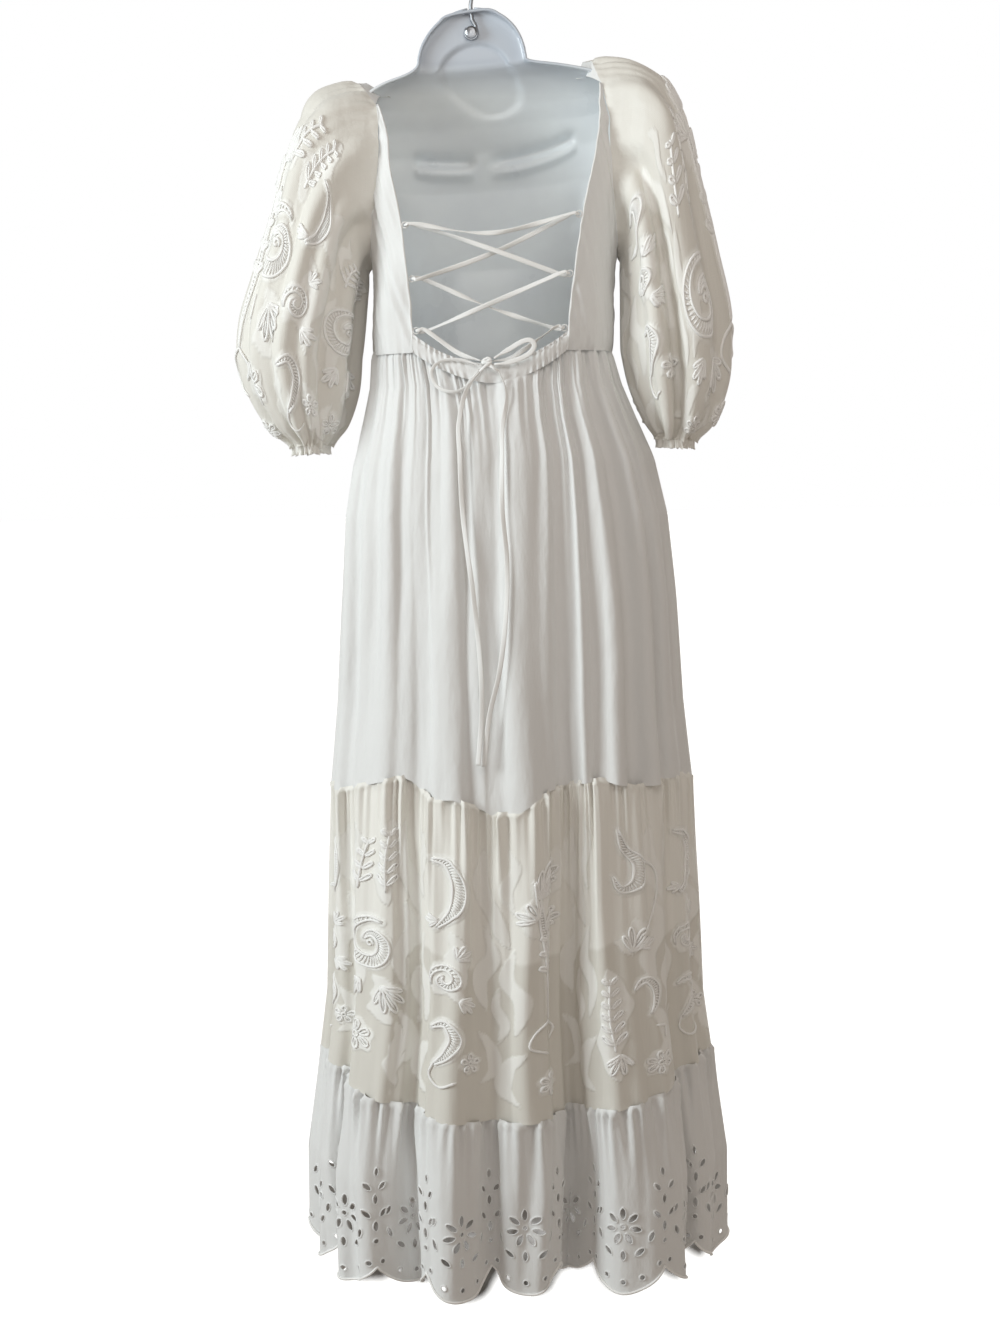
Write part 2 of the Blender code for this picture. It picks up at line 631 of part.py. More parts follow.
def add_form():
    rows = form_rows()
    outer = np.array([form_ring(row, 0.0) for row in rows])
    inner = np.array([form_ring(row, FORM_WALL) for row in rows])
    form = add_wall("torso_form", outer, inner, "plastic")
    bpy.ops.mesh.primitive_cylinder_add(vertices=20, radius=0.0031, depth=0.04, location=(0, 0, RIVET_Z),
                                        rotation=(math.radians(90), 0, 0))
    cutter = bpy.context.object
    cutter.name = "rivet_hole_cutter"
    cutter.hide_render = True
    cutter.display_type = "WIRE"
    cut = form.modifiers.new("rivet hole", "BOOLEAN")
    cut.operation = "DIFFERENCE"
    cut.object = cutter
    return form


# ---------------------------------------------------------------- hook and rivet
def add_hook():
    centre = CROOK_RADIUS + HOOK_WIRE
    points = []
    for degrees in range(205, -51, -15):
        angle = math.radians(degrees)
        points.append((centre * math.cos(angle), 0, -CROOK_RADIUS + centre * math.sin(angle)))
    points += [(0.0055, 0, -0.0445), (0.0012, 0, -0.0500), (0, 0, -0.0570), (0, 0, -0.0650),
               (0.0014, 0, -0.0730), (0.0048, 0, -0.0795)]
    eye = 0.0062
    for degrees in range(15, -226, -20):
        angle = math.radians(degrees)
        points.append((eye * math.cos(angle), 0, RIVET_Z + eye * math.sin(angle)))
    return add_cord("hook", points, HOOK_WIRE, "steel")


def add_rivet():
    """A turned rivet along Y: a round head on each side of the tab and the wire eye."""
    profile = ((-0.0062, 0.0015), (-0.0056, 0.0045), (-0.0045, 0.0062), (-0.0026, 0.0070), (-0.0026, 0.0027),
               (0.0059, 0.0027), (0.0059, 0.0062), (0.0072, 0.0050), (0.0078, 0.0020))
    steps = 20
    points, faces = [], []
    for y, radius in profile:
        for step in range(steps):
            angle = 2 * math.pi * step / steps
            points.append((radius * math.cos(angle), y, RIVET_Z + radius * math.sin(angle)))
    for ring in range(len(profile) - 1):
        for step in range(steps):
            following = (step + 1) % steps
            faces.append((ring * steps + following, ring * steps + step,
                          (ring + 1) * steps + step, (ring + 1) * steps + following))
    last = (len(profile) - 1) * steps
    faces.append(tuple(range(steps)))
    faces.append(tuple(last + step for step in range(steps))[::-1])
    return add_mesh("rivet", points, faces, "steel")


# ---------------------------------------------------------------- lace and its loops
def loop_place(side, z):
    """Middle of a lace loop, just inside the open back's edge."""
    edge = float(np.interp(z, OPENING_EDGE[:, 0], OPENING_EDGE[:, 1]))
    y = float(body_outline(angle_at_x(edge, z), np.array(z))[..., 1])
    x = side * (edge - LOOP_RING - LOOP_CORD - 3 * SEAM_GAP)
    return np.array((x, y + CLOTH_WALL / 2, z))


def add_loops():
    for side, word in ((-1, "left"), (1, "right")):
        for number, z in enumerate(LOOP_HEIGHTS, start=1):
            middle = loop_place(side, z)
            ring = []
            for step in range(LOOP_STEPS):
                angle = 2 * math.pi * step / LOOP_STEPS
                ring.append(middle + LOOP_RING * np.array((math.cos(angle), 0, math.sin(angle))))
            add_cord(f"lace_loop_{word}_{number}", settle(ring), LOOP_CORD, "lace", resolution=1, cyclic=True)


def through_loop(middle, side, first, height=0.0044):
    """The lace's turn through one loop, first on the side of the cloth that first says."""
    inward = np.array((-side, 0, 0))
    steps = ((0.0110, first), (0.0036, first), (0.0002, 0.5 * first), (0.0, 0.0), (0.0002, -0.5 * first),
             (0.0036, -first), (0.0110, -first))
    return [middle + inward * reach + np.array((0, height * level, 0)) for reach, level in steps]


def span(start, end, y_shift, drop):
    """The middle of a strand between two loops."""
    return [(start + end) / 2 + np.array((0, y_shift, -drop))]


def lacing_route():
    """From the knot up one side, across the top and down the other side to the knot."""
    outside, inside = -1.0, 1.0
    left = [loop_place(-1, z) for z in LOOP_HEIGHTS]
    right = [loop_place(1, z) for z in LOOP_HEIGHTS]
    knot = np.array((KNOT_X, surface_y(KNOT_X, KNOT_Z) - 0.0040, KNOT_Z))
    route = [knot + np.array((-0.0064, 0.0018, 0.0012)), knot + np.array((-0.030, 0.006, 0.010))]
    route += through_loop(left[2], -1, outside)
    route += span(left[2], right[1], -0.0030, 0.000)
    route += through_loop(right[1], 1, outside)
    route += span(right[1], left[0], -0.0030, 0.000)
    route += through_loop(left[0], -1, inside)
    route += span(left[0], right[0], -0.0050, 0.015)
    route += through_loop(right[0], 1, outside)
    route += span(right[0], left[1], 0.0034, 0.004)
    route += through_loop(left[1], -1, outside)
    route += span(left[1], right[2], 0.0034, 0.004)
    route += through_loop(right[2], 1, inside)
    route += [knot + np.array((0.030, 0.006, 0.006)), knot + np.array((0.0064, 0.0018, 0.0005))]
    return route, left + right


def surface_y(x, z, reach=0.011):
    """The y of the outermost cloth near a place on the back."""
    theta = np.radians(np.linspace(-60, 60, 721))
    surface = folded_outline if z < WAIST_Z - WAIST_DIP else body_outline
    points = surface(theta, z + 0 * theta)
    near = np.abs(points[:, 0] - x) < reach
    return float(points[near, 1].min())


def on_skirt(places):
    return [np.array((x, surface_y(x, z) - lift, z)) for x, z, lift in places]


def add_lace():
    route, loops = lacing_route()
    add_cord("lacing", settle(smooth_path(route, 0.0200, loops, 0.0034)), LACE_RADIUS, "lace")
    knot_place = settle([(KNOT_X, surface_y(KNOT_X, KNOT_Z) - 0.0040, KNOT_Z)])[0]
    bpy.ops.mesh.primitive_uv_sphere_add(segments=14, ring_count=8, radius=1.0, location=knot_place)
    knot = bpy.context.object
    knot.name = "lace_knot"
    knot.scale = (0.0056, 0.0034, 0.0050)
    bpy.ops.object.transform_apply(location=False, rotation=False, scale=True)
    knot.data.materials.append(make_material("lace_knot", "lace"))
    knot.data.shade_smooth()

    add_cord("bow_left", settle(smooth_path(on_skirt(LEFT_BOW), 0.007)), LACE_RADIUS, "lace")
    add_cord("bow_right", settle(smooth_path(on_skirt(RIGHT_BOW), 0.007)), LACE_RADIUS, "lace")
    add_cord("lace_tail_left", settle(smooth_path(on_skirt(LEFT_TAIL), 0.0130)), LACE_RADIUS, "lace")
    add_cord("lace_tail_right", settle(smooth_path(on_skirt(RIGHT_TAIL), 0.0130)), LACE_RADIUS, "lace")


def main():
    clear_scene()
    add_form()
    add_hook()
    add_rivet()
    add_bodice_front()
    add_bodice_back(-1, "bodice_back_left")
    add_bodice_back(1, "bodice_back_right")
    add_casing()
    for side in ("left", "right"):
        add_sleeve(side)
    add_skirt()
    add_loops()
    add_lace()


main()
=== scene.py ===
import json
import math

import bpy
import numpy as np
from mathutils import Matrix, Vector, geometry

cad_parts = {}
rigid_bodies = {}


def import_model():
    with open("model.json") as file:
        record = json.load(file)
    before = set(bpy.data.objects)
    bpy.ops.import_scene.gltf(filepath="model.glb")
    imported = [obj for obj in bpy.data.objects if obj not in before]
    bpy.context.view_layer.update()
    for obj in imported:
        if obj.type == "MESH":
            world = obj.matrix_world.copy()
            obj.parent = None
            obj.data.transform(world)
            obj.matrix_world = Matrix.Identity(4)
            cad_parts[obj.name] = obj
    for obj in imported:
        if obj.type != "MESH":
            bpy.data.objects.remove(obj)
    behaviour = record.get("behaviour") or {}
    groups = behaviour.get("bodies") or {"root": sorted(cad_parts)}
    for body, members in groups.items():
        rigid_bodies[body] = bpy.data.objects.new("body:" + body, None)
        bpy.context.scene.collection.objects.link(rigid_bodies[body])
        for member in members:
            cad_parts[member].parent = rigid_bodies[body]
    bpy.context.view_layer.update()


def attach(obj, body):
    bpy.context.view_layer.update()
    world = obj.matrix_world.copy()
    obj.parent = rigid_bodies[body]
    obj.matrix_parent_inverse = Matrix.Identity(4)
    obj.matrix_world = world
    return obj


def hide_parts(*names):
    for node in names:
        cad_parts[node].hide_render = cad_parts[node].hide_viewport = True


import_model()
halfPi = math.pi / 2
print("frame loaded")


# camera, which stands behind the dress and looks at its laced back
cameraPlace = {"lookAt": (0.024, -0.100, -0.780), "distance": 2.10, "turn": 2.5, "height": -0.550,
               "roll": 1.0, "lens": 52.3}


def addCamera():
    turn, roll = math.radians(cameraPlace["turn"]), math.radians(cameraPlace["roll"])
    aim = Vector(cameraPlace["lookAt"])
    place = Vector((aim.x + cameraPlace["distance"] * math.sin(turn),
                    aim.y - cameraPlace["distance"] * math.cos(turn), cameraPlace["height"]))
    ahead = (aim - place).normalized()
    right = ahead.cross(Vector((0, 0, 1))).normalized()
    up = right.cross(ahead)
    right, up = right * math.cos(roll) - up * math.sin(roll), right * math.sin(roll) + up * math.cos(roll)
    data = bpy.data.cameras.new("backView")
    data.sensor_fit = "VERTICAL"
    data.sensor_height = 36
    data.lens = cameraPlace["lens"]
    camera = bpy.data.objects.new("backView", data)
    camera.matrix_world = Matrix.Translation(place) @ Matrix((right, up, -ahead)).transposed().to_4x4()
    bpy.context.collection.objects.link(camera)
    bpy.context.scene.camera = camera


addCamera()


# shape of the hanging dress: the same sections and folds as the solids
clothShape = {
    "waist": -0.440, "waistDip": 0.035, "casing": 0.021,
    "seamOne": -0.921, "seamTwo": -1.282, "seamTwoRise": 0.045,
    "hemBack": -1.479, "hemFront": -1.472, "scallops": 18, "scallopDepth": 0.027,
    "tilt": 0.070, "tiltFrom": -0.420, "tiltFull": -0.200,
    "rounding": 0.15, "roundingTurns": (-2.2, -1.1, 0.0, 1.1, 2.2), "roundingReach": 1.9,
    # height, half-width, back y, front y, squareness
    "body": np.array([
        (-1.500, 0.256, -0.184, 0.196, 2.0), (-1.360, 0.253, -0.180, 0.190, 2.0),
        (-1.280, 0.240, -0.173, 0.182, 2.0), (-1.170, 0.224, -0.166, 0.172, 2.0),
        (-1.060, 0.219, -0.158, 0.164, 2.0), (-0.928, 0.212, -0.148, 0.154, 2.0),
        (-0.830, 0.201, -0.138, 0.145, 2.0), (-0.720, 0.193, -0.127, 0.135, 2.1),
        (-0.620, 0.184, -0.115, 0.125, 2.2), (-0.560, 0.171, -0.107, 0.118, 2.3),
        (-0.510, 0.153, -0.099, 0.111, 2.4), (-0.475, 0.141, -0.092, 0.106, 2.6),
        (-0.440, 0.134, -0.085, 0.101, 3.0), (-0.385, 0.135, -0.084, 0.108, 3.2),
        (-0.336, 0.137, -0.083, 0.112, 3.2), (-0.290, 0.138, -0.080, 0.112, 3.2),
        (-0.240, 0.139, -0.076, 0.104, 3.2), (-0.195, 0.139, -0.066, 0.090, 3.2),
        (-0.160, 0.139, -0.045, 0.064, 3.2), (-0.140, 0.139, -0.020, 0.034, 3.2)]),
    # height, sideways shift
    "shift": np.array([
        (-1.500, 0.031), (-0.700, 0.031), (-0.550, 0.028), (-0.440, 0.018), (-0.200, 0.025),
        (-0.160, 0.020), (-0.124, 0.000)]),
    # angle, width, depth at the waist, at both seams and at the hem
    "folds": np.array([
        (-80.0, 6.0, 0.003, 0.010, 0.018, 0.026), (-62.0, 6.0, 0.004, 0.014, 0.024, 0.034),
        (-47.0, 4.5, 0.005, 0.008, 0.004, 0.008), (-31.0, 5.0, 0.006, 0.020, 0.036, 0.054),
        (-19.0, 4.0, 0.006, 0.009, 0.004, 0.006), (-6.5, 4.5, 0.006, 0.018, 0.032, 0.048),
        (6.0, 11.0, 0.000, 0.005, 0.020, 0.032), (19.5, 6.0, 0.006, 0.024, 0.058, 0.094),
        (33.0, 4.0, 0.005, 0.008, 0.005, 0.008), (45.0, 4.5, 0.005, 0.010, 0.006, 0.010),
        (60.0, 5.5, 0.005, 0.016, 0.030, 0.044), (77.0, 6.0, 0.003, 0.010, 0.018, 0.026),
        (96.0, 5.5, 0.004, 0.014, 0.026, 0.040), (114.0, 5.0, 0.005, 0.018, 0.034, 0.050),
        (131.0, 6.0, 0.004, 0.012, 0.022, 0.034), (149.0, 5.0, 0.006, 0.018, 0.034, 0.052),
        (166.0, 6.0, 0.004, 0.014, 0.026, 0.038), (184.0, 5.0, 0.006, 0.020, 0.036, 0.056),
        (201.0, 6.0, 0.004, 0.012, 0.024, 0.036), (219.0, 5.0, 0.006, 0.018, 0.032, 0.050),
        (237.0, 6.0, 0.004, 0.014, 0.026, 0.040), (256.0, 5.5, 0.004, 0.014, 0.028, 0.042)]),
    # angle, rise of the seam under the upper tier
    "seamWave": np.array([
        (-70, -0.006), (-35, 0.018), (-24, -0.004), (-16, -0.002), (-5, -0.020), (3, -0.018),
        (14, 0.006), (30, 0.015), (43, 0.003), (71, 0.008), (100, -0.005), (128, 0.010),
        (155, -0.008), (182, 0.006), (210, -0.010), (240, 0.008), (265, -0.004)]),
    # height, half-width of the open back
    "opening": np.array([
        (-0.440, 0.0840), (-0.385, 0.0880), (-0.336, 0.0930), (-0.290, 0.1010), (-0.240, 0.1100),
        (-0.195, 0.1170), (-0.150, 0.1230)]),
}


def bodyValue(z, column):
    return np.interp(z, clothShape["body"][:, 0], clothShape["body"][:, column])


def bodyOutline(theta, z):
    # theta is 0 at the middle of the back and a quarter turn at +X
    power = 2.0 / bodyValue(z, 4)
    back, front = bodyValue(z, 2), bodyValue(z, 3)
    sine, cosine = np.sin(theta), np.cos(theta)
    x = bodyValue(z, 1) * np.sign(sine) * np.abs(sine) ** power
    y = (back + front) / 2 - (front - back) / 2 * np.sign(cosine) * np.abs(cosine) ** power
    return np.stack([x, y, z + 0 * theta], axis=-1)


def foldDepth(theta, z, wider=1.0):
    heights = (clothShape["hemBack"], clothShape["seamTwo"], clothShape["seamOne"],
               clothShape["waist"] - clothShape["waistDip"])
    total = 0.0 * theta
    for angle, width, waist, seamOne, seamTwo, hem in clothShape["folds"]:
        away = (np.degrees(theta) - angle + 180) % 360 - 180
        depth = np.interp(z, heights, (hem, seamTwo, seamOne, waist))
        total = total + depth * np.exp(-(away / width / wider) ** 2)
    return total


def levelNormal(outline, theta, z):
    step = 1e-4
    along = outline(theta + step, z) - outline(theta - step, z)
    normal = np.stack([along[..., 1], -along[..., 0], 0 * along[..., 0]], axis=-1)
    return normal / np.linalg.norm(normal, axis=-1, keepdims=True)


def foldedOutline(theta, z):
    return bodyOutline(theta, z) - levelNormal(bodyOutline, theta, z) * foldDepth(theta, z)[..., None]


def roundedOutline(theta, z):
    # the hanging cloth: softer than the folded section, and rounded over into each deep fold
    total = 0
    turns = clothShape["roundingTurns"]
    for turn in turns:
        total = total + foldedOutline(theta + math.radians(turn), z)
    inwards = clothShape["rounding"] * foldDepth(theta, z, clothShape["roundingReach"])
    return total / len(turns) - levelNormal(bodyOutline, theta, z) * inwards[..., None]


def settle(points):
    # how the straight pattern hangs: sideways shift by height, and tilted shoulders
    points = np.array(points, dtype=float)
    x, z = points[..., 0].copy(), points[..., 2].copy()
    rise = np.clip((z - clothShape["tiltFrom"]) / (clothShape["tiltFull"] - clothShape["tiltFrom"]), 0, 1)
    points[..., 0] += np.interp(z, clothShape["shift"][:, 0], clothShape["shift"][:, 1])
    points[..., 2] += clothShape["tilt"] * x * rise ** 2 * (3 - 2 * rise)
    return points


def angleAtX(x, z):
    return np.arcsin(np.clip(x / bodyValue(z, 1), 0, 1) ** (bodyValue(z, 4) / 2))


def ripple(along, wave, seed, waves=6):
    # uneven waves of about one length, as small gathers have
    picks = np.random.default_rng(seed)
    total = 0 * along
    for _ in range(waves):
        total = total + np.sin(2 * math.pi * (along / wave * picks.uniform(0.6, 1.5) + picks.random()))
    return total / math.sqrt(waves)


def meshPiece(name, points, faces, material, uv=None, smooth=True):
    mesh = bpy.data.meshes.new(name)
    mesh.from_pydata([tuple(point) for point in np.asarray(points, dtype=float).tolist()], [], faces)
    mesh.validate()
    if smooth:
        mesh.shade_smooth()
    mesh.materials.append(material)
    if uv is not None:
        layer = mesh.uv_layers.new(name="cloth")
        corners = np.empty(len(mesh.loops), dtype=np.int64)
        mesh.loops.foreach_get("vertex_index", corners)
        layer.data.foreach_set("uv", np.asarray(uv, dtype=np.float32)[corners].ravel())
    piece = bpy.data.objects.new(name, mesh)
    bpy.context.collection.objects.link(piece)
    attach(piece, "root")
    return piece


def gridFaces(rows, columns, closed=False):
    # rows run upwards and columns to the right as seen from outside
    faces = []
    for row in range(rows - 1):
        for column in range(columns if closed else columns - 1):
            following = (column + 1) % columns
            faces.append((row * columns + column, row * columns + following,
                          (row + 1) * columns + following, (row + 1) * columns + column))
    return faces


def tubeFaces(rings, sides):
    # a closed grid with a cap over each end
    last = (rings - 1) * sides
    caps = [tuple(range(sides))[::-1], tuple(range(last, last + sides))]
    return gridFaces(rings, sides, closed=True) + caps


def turnOver(faces):
    return [face[::-1] for face in faces]


def addFloatAttribute(piece, name, values):
    layer = piece.data.attributes.new(name, "FLOAT", "POINT")
    layer.data.foreach_set("value", np.asarray(values, dtype=np.float32))


# finishes
def newFinish(name, colour, roughness, **settings):
    material = bpy.data.materials.new(name)
    material.use_nodes = True
    shader = material.node_tree.nodes["Principled BSDF"]
    shader.inputs["Base Color"].default_value = (*colour, 1)
    shader.inputs["Roughness"].default_value = roughness
    for socket, value in settings.items():
        shader.inputs[socket.replace("_", " ")].default_value = value
    return material


def addNode(material, kind, links=None, **values):
    tree = material.node_tree
    node = tree.nodes.new(kind)
    for key, value in values.items():
        if hasattr(node, key):
            setattr(node, key, value)
        else:
            node.inputs[key.replace("_", " ")].default_value = value
    for socket, source in (links or {}).items():
        tree.links.new(source, node.inputs[socket])
    return node


def feed(material, source, socket):
    # lets a texture drive one socket of the finish
    shader = material.node_tree.nodes["Principled BSDF"]
    material.node_tree.links.new(source, shader.inputs[socket])


def mixColours(material, share, first, second):
    mix = addNode(material, "ShaderNodeMix", data_type="RGBA")
    mix.inputs[6].default_value = (*first, 1)
    mix.inputs[7].default_value = (*second, 1)
    material.node_tree.links.new(share, mix.inputs[0])
    return mix.outputs[2]


def mathNode(material, operation, first, second, clamp=False):
    node = addNode(material, "ShaderNodeMath", operation=operation, use_clamp=clamp)
    for place, value in enumerate((first, second)):
        if isinstance(value, (int, float)):
            node.inputs[place].default_value = value
        else:
            material.node_tree.links.new(value, node.inputs[place])
    return node.outputs[0]


def mappedNoise(material, source, scale, size, detail=3):
    mapping = addNode(material, "ShaderNodeMapping", {"Vector": source}, Scale=scale)
    noise = addNode(material, "ShaderNodeTexNoise", {"Vector": mapping.outputs[0]}, Scale=size, Detail=detail)
    return noise.outputs[0]


def addBump(material, height, strength, distance, under=None):
    links = {"Height": height}
    if under is not None:
        links["Normal"] = under
    return addNode(material, "ShaderNodeBump", links, Strength=strength, Distance=distance).outputs[0]


def weaveHeight(material, uvSource, threads):
    # over and under threads from two crossed sets of bands
    bands = []
    for direction in ("X", "Y"):
        bands.append(addNode(material, "ShaderNodeTexWave", {"Vector": uvSource}, bands_direction=direction,
                             Scale=threads, Distortion=0.4, Detail=1.0).outputs[1])
    return mathNode(material, "MULTIPLY", bands[0], bands[1])


finishes = {
    "cotton": {"colour": (0.80, 0.805, 0.80), "shade": (0.76, 0.76, 0.755), "threads": 260,
               "crease": 0.0064, "smallCrease": 0.0012},
    "organza": {"ground": (0.75, 0.725, 0.665), "lined": (0.85, 0.835, 0.79), "patch": (0.85, 0.84, 0.805),
                "seeThrough": 0.09, "threads": 200},
    "thread": {"colour": (0.91, 0.905, 0.89)},
    "lace": {"colour": (0.86, 0.86, 0.85)},
    # the plastic's tab tone is painted shade, mixed over the tab by its height
    "plastic": {"colour": (0.84, 0.89, 0.95), "tab": (0.50, 0.55, 0.62), "roughness": 0.30,
                "shadedTabHeights": (-0.150, -0.118)},
    "steel": {"colour": (0.30, 0.31, 0.33), "roughness": 0.28},
}


def cottonFinish(name):
    look = finishes["cotton"]
    material = newFinish(name, look["colour"], 0.88, Sheen_Weight=0.25, Sheen_Roughness=0.5)
    place = addNode(material, "ShaderNodeTexCoord")
    uv = place.outputs["UV"]
    cloud = mappedNoise(material, place.outputs["Object"], (1, 1, 0.4), 9)
    colour = mixColours(material, cloud, look["colour"], look["shade"])
    feed(material, colour, "Base Color")
    weave = weaveHeight(material, uv, look["threads"])
    folds = mappedNoise(material, place.outputs["Object"], (1, 1, 0.28), 26, 4)
    small = mappedNoise(material, place.outputs["Object"], (1, 1, 0.6), 90, 3)
    fine = addBump(material, weave, 0.25, 0.0003)
    creased = addBump(material, small, 0.5, look["smallCrease"], fine)
    feed(material, addBump(material, folds, 0.8, look["crease"], creased), "Normal")
    return material


def organzaFinish(name):
    look = finishes["organza"]
    material = newFinish(name, look["ground"], 0.60, Sheen_Weight=0.35, Sheen_Roughness=0.35)
    place = addNode(material, "ShaderNodeTexCoord")
    patch = addNode(material, "ShaderNodeAttribute", attribute_name="patch").outputs["Fac"]
    streaks = mappedNoise(material, place.outputs["Object"], (1, 1, 0.10), 70, 4)
    lined = addNode(material, "ShaderNodeAttribute", attribute_name="lined").outputs["Fac"]
    backed = mixColours(material, lined, look["ground"], look["lined"])
    colour = mixColours(material, patch, look["ground"], look["patch"])
    material.node_tree.links.new(backed, colour.node.inputs[6])
    feed(material, colour, "Base Color")
    covered = mathNode(material, "MAXIMUM", patch, lined)
    bare = mathNode(material, "SUBTRACT", 1.0, covered, True)
    clear = mathNode(material, "MULTIPLY", bare, look["seeThrough"])
    uneven = mathNode(material, "MULTIPLY", clear, mathNode(material, "ADD", streaks, 0.5))
    solid = mathNode(material, "SUBTRACT", 1.0, uneven, True)
    feed(material, solid, "Alpha")
    weave = weaveHeight(material, place.outputs["UV"], look["threads"])
    fine = addBump(material, weave, 0.3, 0.0003)
    edge = addBump(material, patch, 0.7, 0.0012, fine)
    feed(material, addBump(material, streaks, 0.55, 0.0022, edge), "Normal")
    return material


def threadFinish(name, colour):
    material = newFinish(name, colour, 0.62, Sheen_Weight=0.3)
    place = addNode(material, "ShaderNodeTexCoord")
    twist = mappedNoise(material, place.outputs["Object"], (1, 1, 1), 900, 2)
    feed(material, addBump(material, twist, 0.6, 0.0004), "Normal")
    return material


def plasticFinish(name):
    look = finishes["plastic"]
    material = newFinish(name, look["colour"], look["roughness"], Coat_Weight=0.25, Coat_Roughness=0.12,
                         IOR=1.46)
    place = addNode(material, "ShaderNodeTexCoord")
    frost = mappedNoise(material, place.outputs["Object"], (1, 1, 1), 14, 4)
    colour = mixColours(material, frost, [c * 0.90 for c in look["colour"]],
                        [min(1, c * 1.12) for c in look["colour"]])
    height = addNode(material, "ShaderNodeSeparateXYZ", {"Vector": place.outputs["Object"]}).outputs["Z"]
    low, high = look["shadedTabHeights"]
    ramp = addNode(material, "ShaderNodeMapRange", {"Value": height}, From_Min=low, From_Max=high)
    tab = mixColours(material, ramp.outputs[0], look["colour"], look["tab"])    # painted shade: the tab is darkened by height
    material.node_tree.links.new(colour, tab.node.inputs[6])
    feed(material, tab, "Base Color")
    rough = addNode(material, "ShaderNodeMapRange", {"Value": frost}, To_Min=0.20, To_Max=0.40)
    feed(material, rough.outputs[0], "Roughness")
    wavy = mappedNoise(material, place.outputs["Object"], (1, 1, 0.6), 22, 2)
    feed(material, addBump(material, wavy, 0.35, 0.004), "Normal")
    return material


def steelFinish(name):
    look = finishes["steel"]
    material = newFinish(name, look["colour"], look["roughness"], Metallic=1.0)
    place = addNode(material, "ShaderNodeTexCoord")
    scuffs = mappedNoise(material, place.outputs["Object"], (1, 1, 0.2), 500, 2)
    rough = addNode(material, "ShaderNodeMapRange", {"Value": scuffs}, To_Min=0.20, To_Max=0.42)
    feed(material, rough.outputs[0], "Roughness")
    return material


cotton = cottonFinish("cotton")
organza = organzaFinish("organza")
threadWhite = threadFinish("embroideryThread", finishes["thread"]["colour"])
laceWhite = threadFinish("laceCotton", finishes["lace"]["colour"])
plastic = plasticFinish("frostedPlastic")
steel = steelFinish("hookSteel")
print("finishes made")


# the lace: one flat ribbon, knotted over the casing
laceSizes = {
    "width": 0.0054, "thickness": 0.0011, "bunched": 0.0030,
    "loops": (-0.298, -0.359, -0.416), "loopRing": 0.0034, "loopCord": 0.0008, "loopGap": 0.0009,
    "knot": (-0.0036, -0.4515), "knotTurns": 2.2, "knotHalf": (0.0034, 0.0022, 0.0036),
    # x, z and height above the cloth
    "leftTail": ((-0.0125, -0.4620, 0.0072), (-0.0290, -0.4820, 0.0086), (-0.0390, -0.5100, 0.0060),
                 (-0.0430, -0.5383, 0.0034), (-0.0420, -0.6164, 0.0034), (-0.0335, -0.7018, 0.0034),
                 (-0.0275, -0.7694, 0.0034), (-0.0260, -0.8241, 0.0034), (-0.0310, -0.8846, 0.0034)),
    "rightTail": ((0.0080, -0.4620, 0.0066), (0.0140, -0.4880, 0.0050), (0.0040, -0.5327, 0.0034),
                  (0.0007, -0.6042, 0.0034), (0.0039, -0.6645, 0.0034), (0.0010, -0.7284, 0.0034),
                  (-0.0065, -0.7849, 0.0034), (-0.0182, -0.8330, 0.0034), (-0.0250, -0.8869, 0.0034)),
    "leftBow": ((-0.0130, -0.4545, 0.0060), (-0.0320, -0.4490, 0.0050), (-0.0541, -0.4500, 0.0040),
                (-0.0652, -0.4615, 0.0038), (-0.0606, -0.4770, 0.0038), (-0.0450, -0.4830, 0.0038),
                (-0.0310, -0.4790, 0.0038), (-0.0180, -0.4650, 0.0042), (-0.0130, -0.4595, 0.0040)),
    "rightBow": ((0.0040, -0.4480, 0.0066), (0.0226, -0.4380, 0.0080), (0.0360, -0.4305, 0.0100),
                 (0.0455, -0.4300, 0.0110), (0.0484, -0.4370, 0.0110), (0.0400, -0.4455, 0.0090),
                 (0.0210, -0.4525, 0.0080), (0.0040, -0.4545, 0.0066)),
}


def throughPoints(before, start, end, after, t):
    # a smooth curve from start to end that heads on past its neighbours
    bend = 2 * before - 5 * start + 4 * end - after
    twist = 3 * start - before - 3 * end + after
    return 0.5 * (2 * start + (end - before) * t + bend * t ** 2 + twist * t ** 3)


def smoothPath(points, spacing):
    # a smooth curve through the points, read at an even spacing
    points = np.array(points, dtype=float)
    padded = np.vstack([2 * points[0] - points[1], points, 2 * points[-1] - points[-2]])
    dense = []
    for index in range(1, len(padded) - 2):
        before, start, end, after = padded[index - 1:index + 3]
        for t in np.linspace(0, 1, 24, endpoint=False):
            dense.append(throughPoints(before, start, end, after, t))
    dense = np.array(dense + [points[-1]])
    along = np.concatenate([[0], np.cumsum(np.linalg.norm(np.diff(dense, axis=0), axis=1))])
    marks = np.linspace(0, along[-1], max(4, int(round(along[-1] / spacing)) + 1))
    return np.column_stack([np.interp(marks, along, dense[:, axis]) for axis in range(3)])


def pathLength(points):
    return float(np.linalg.norm(np.diff(points, axis=0), axis=1).sum())


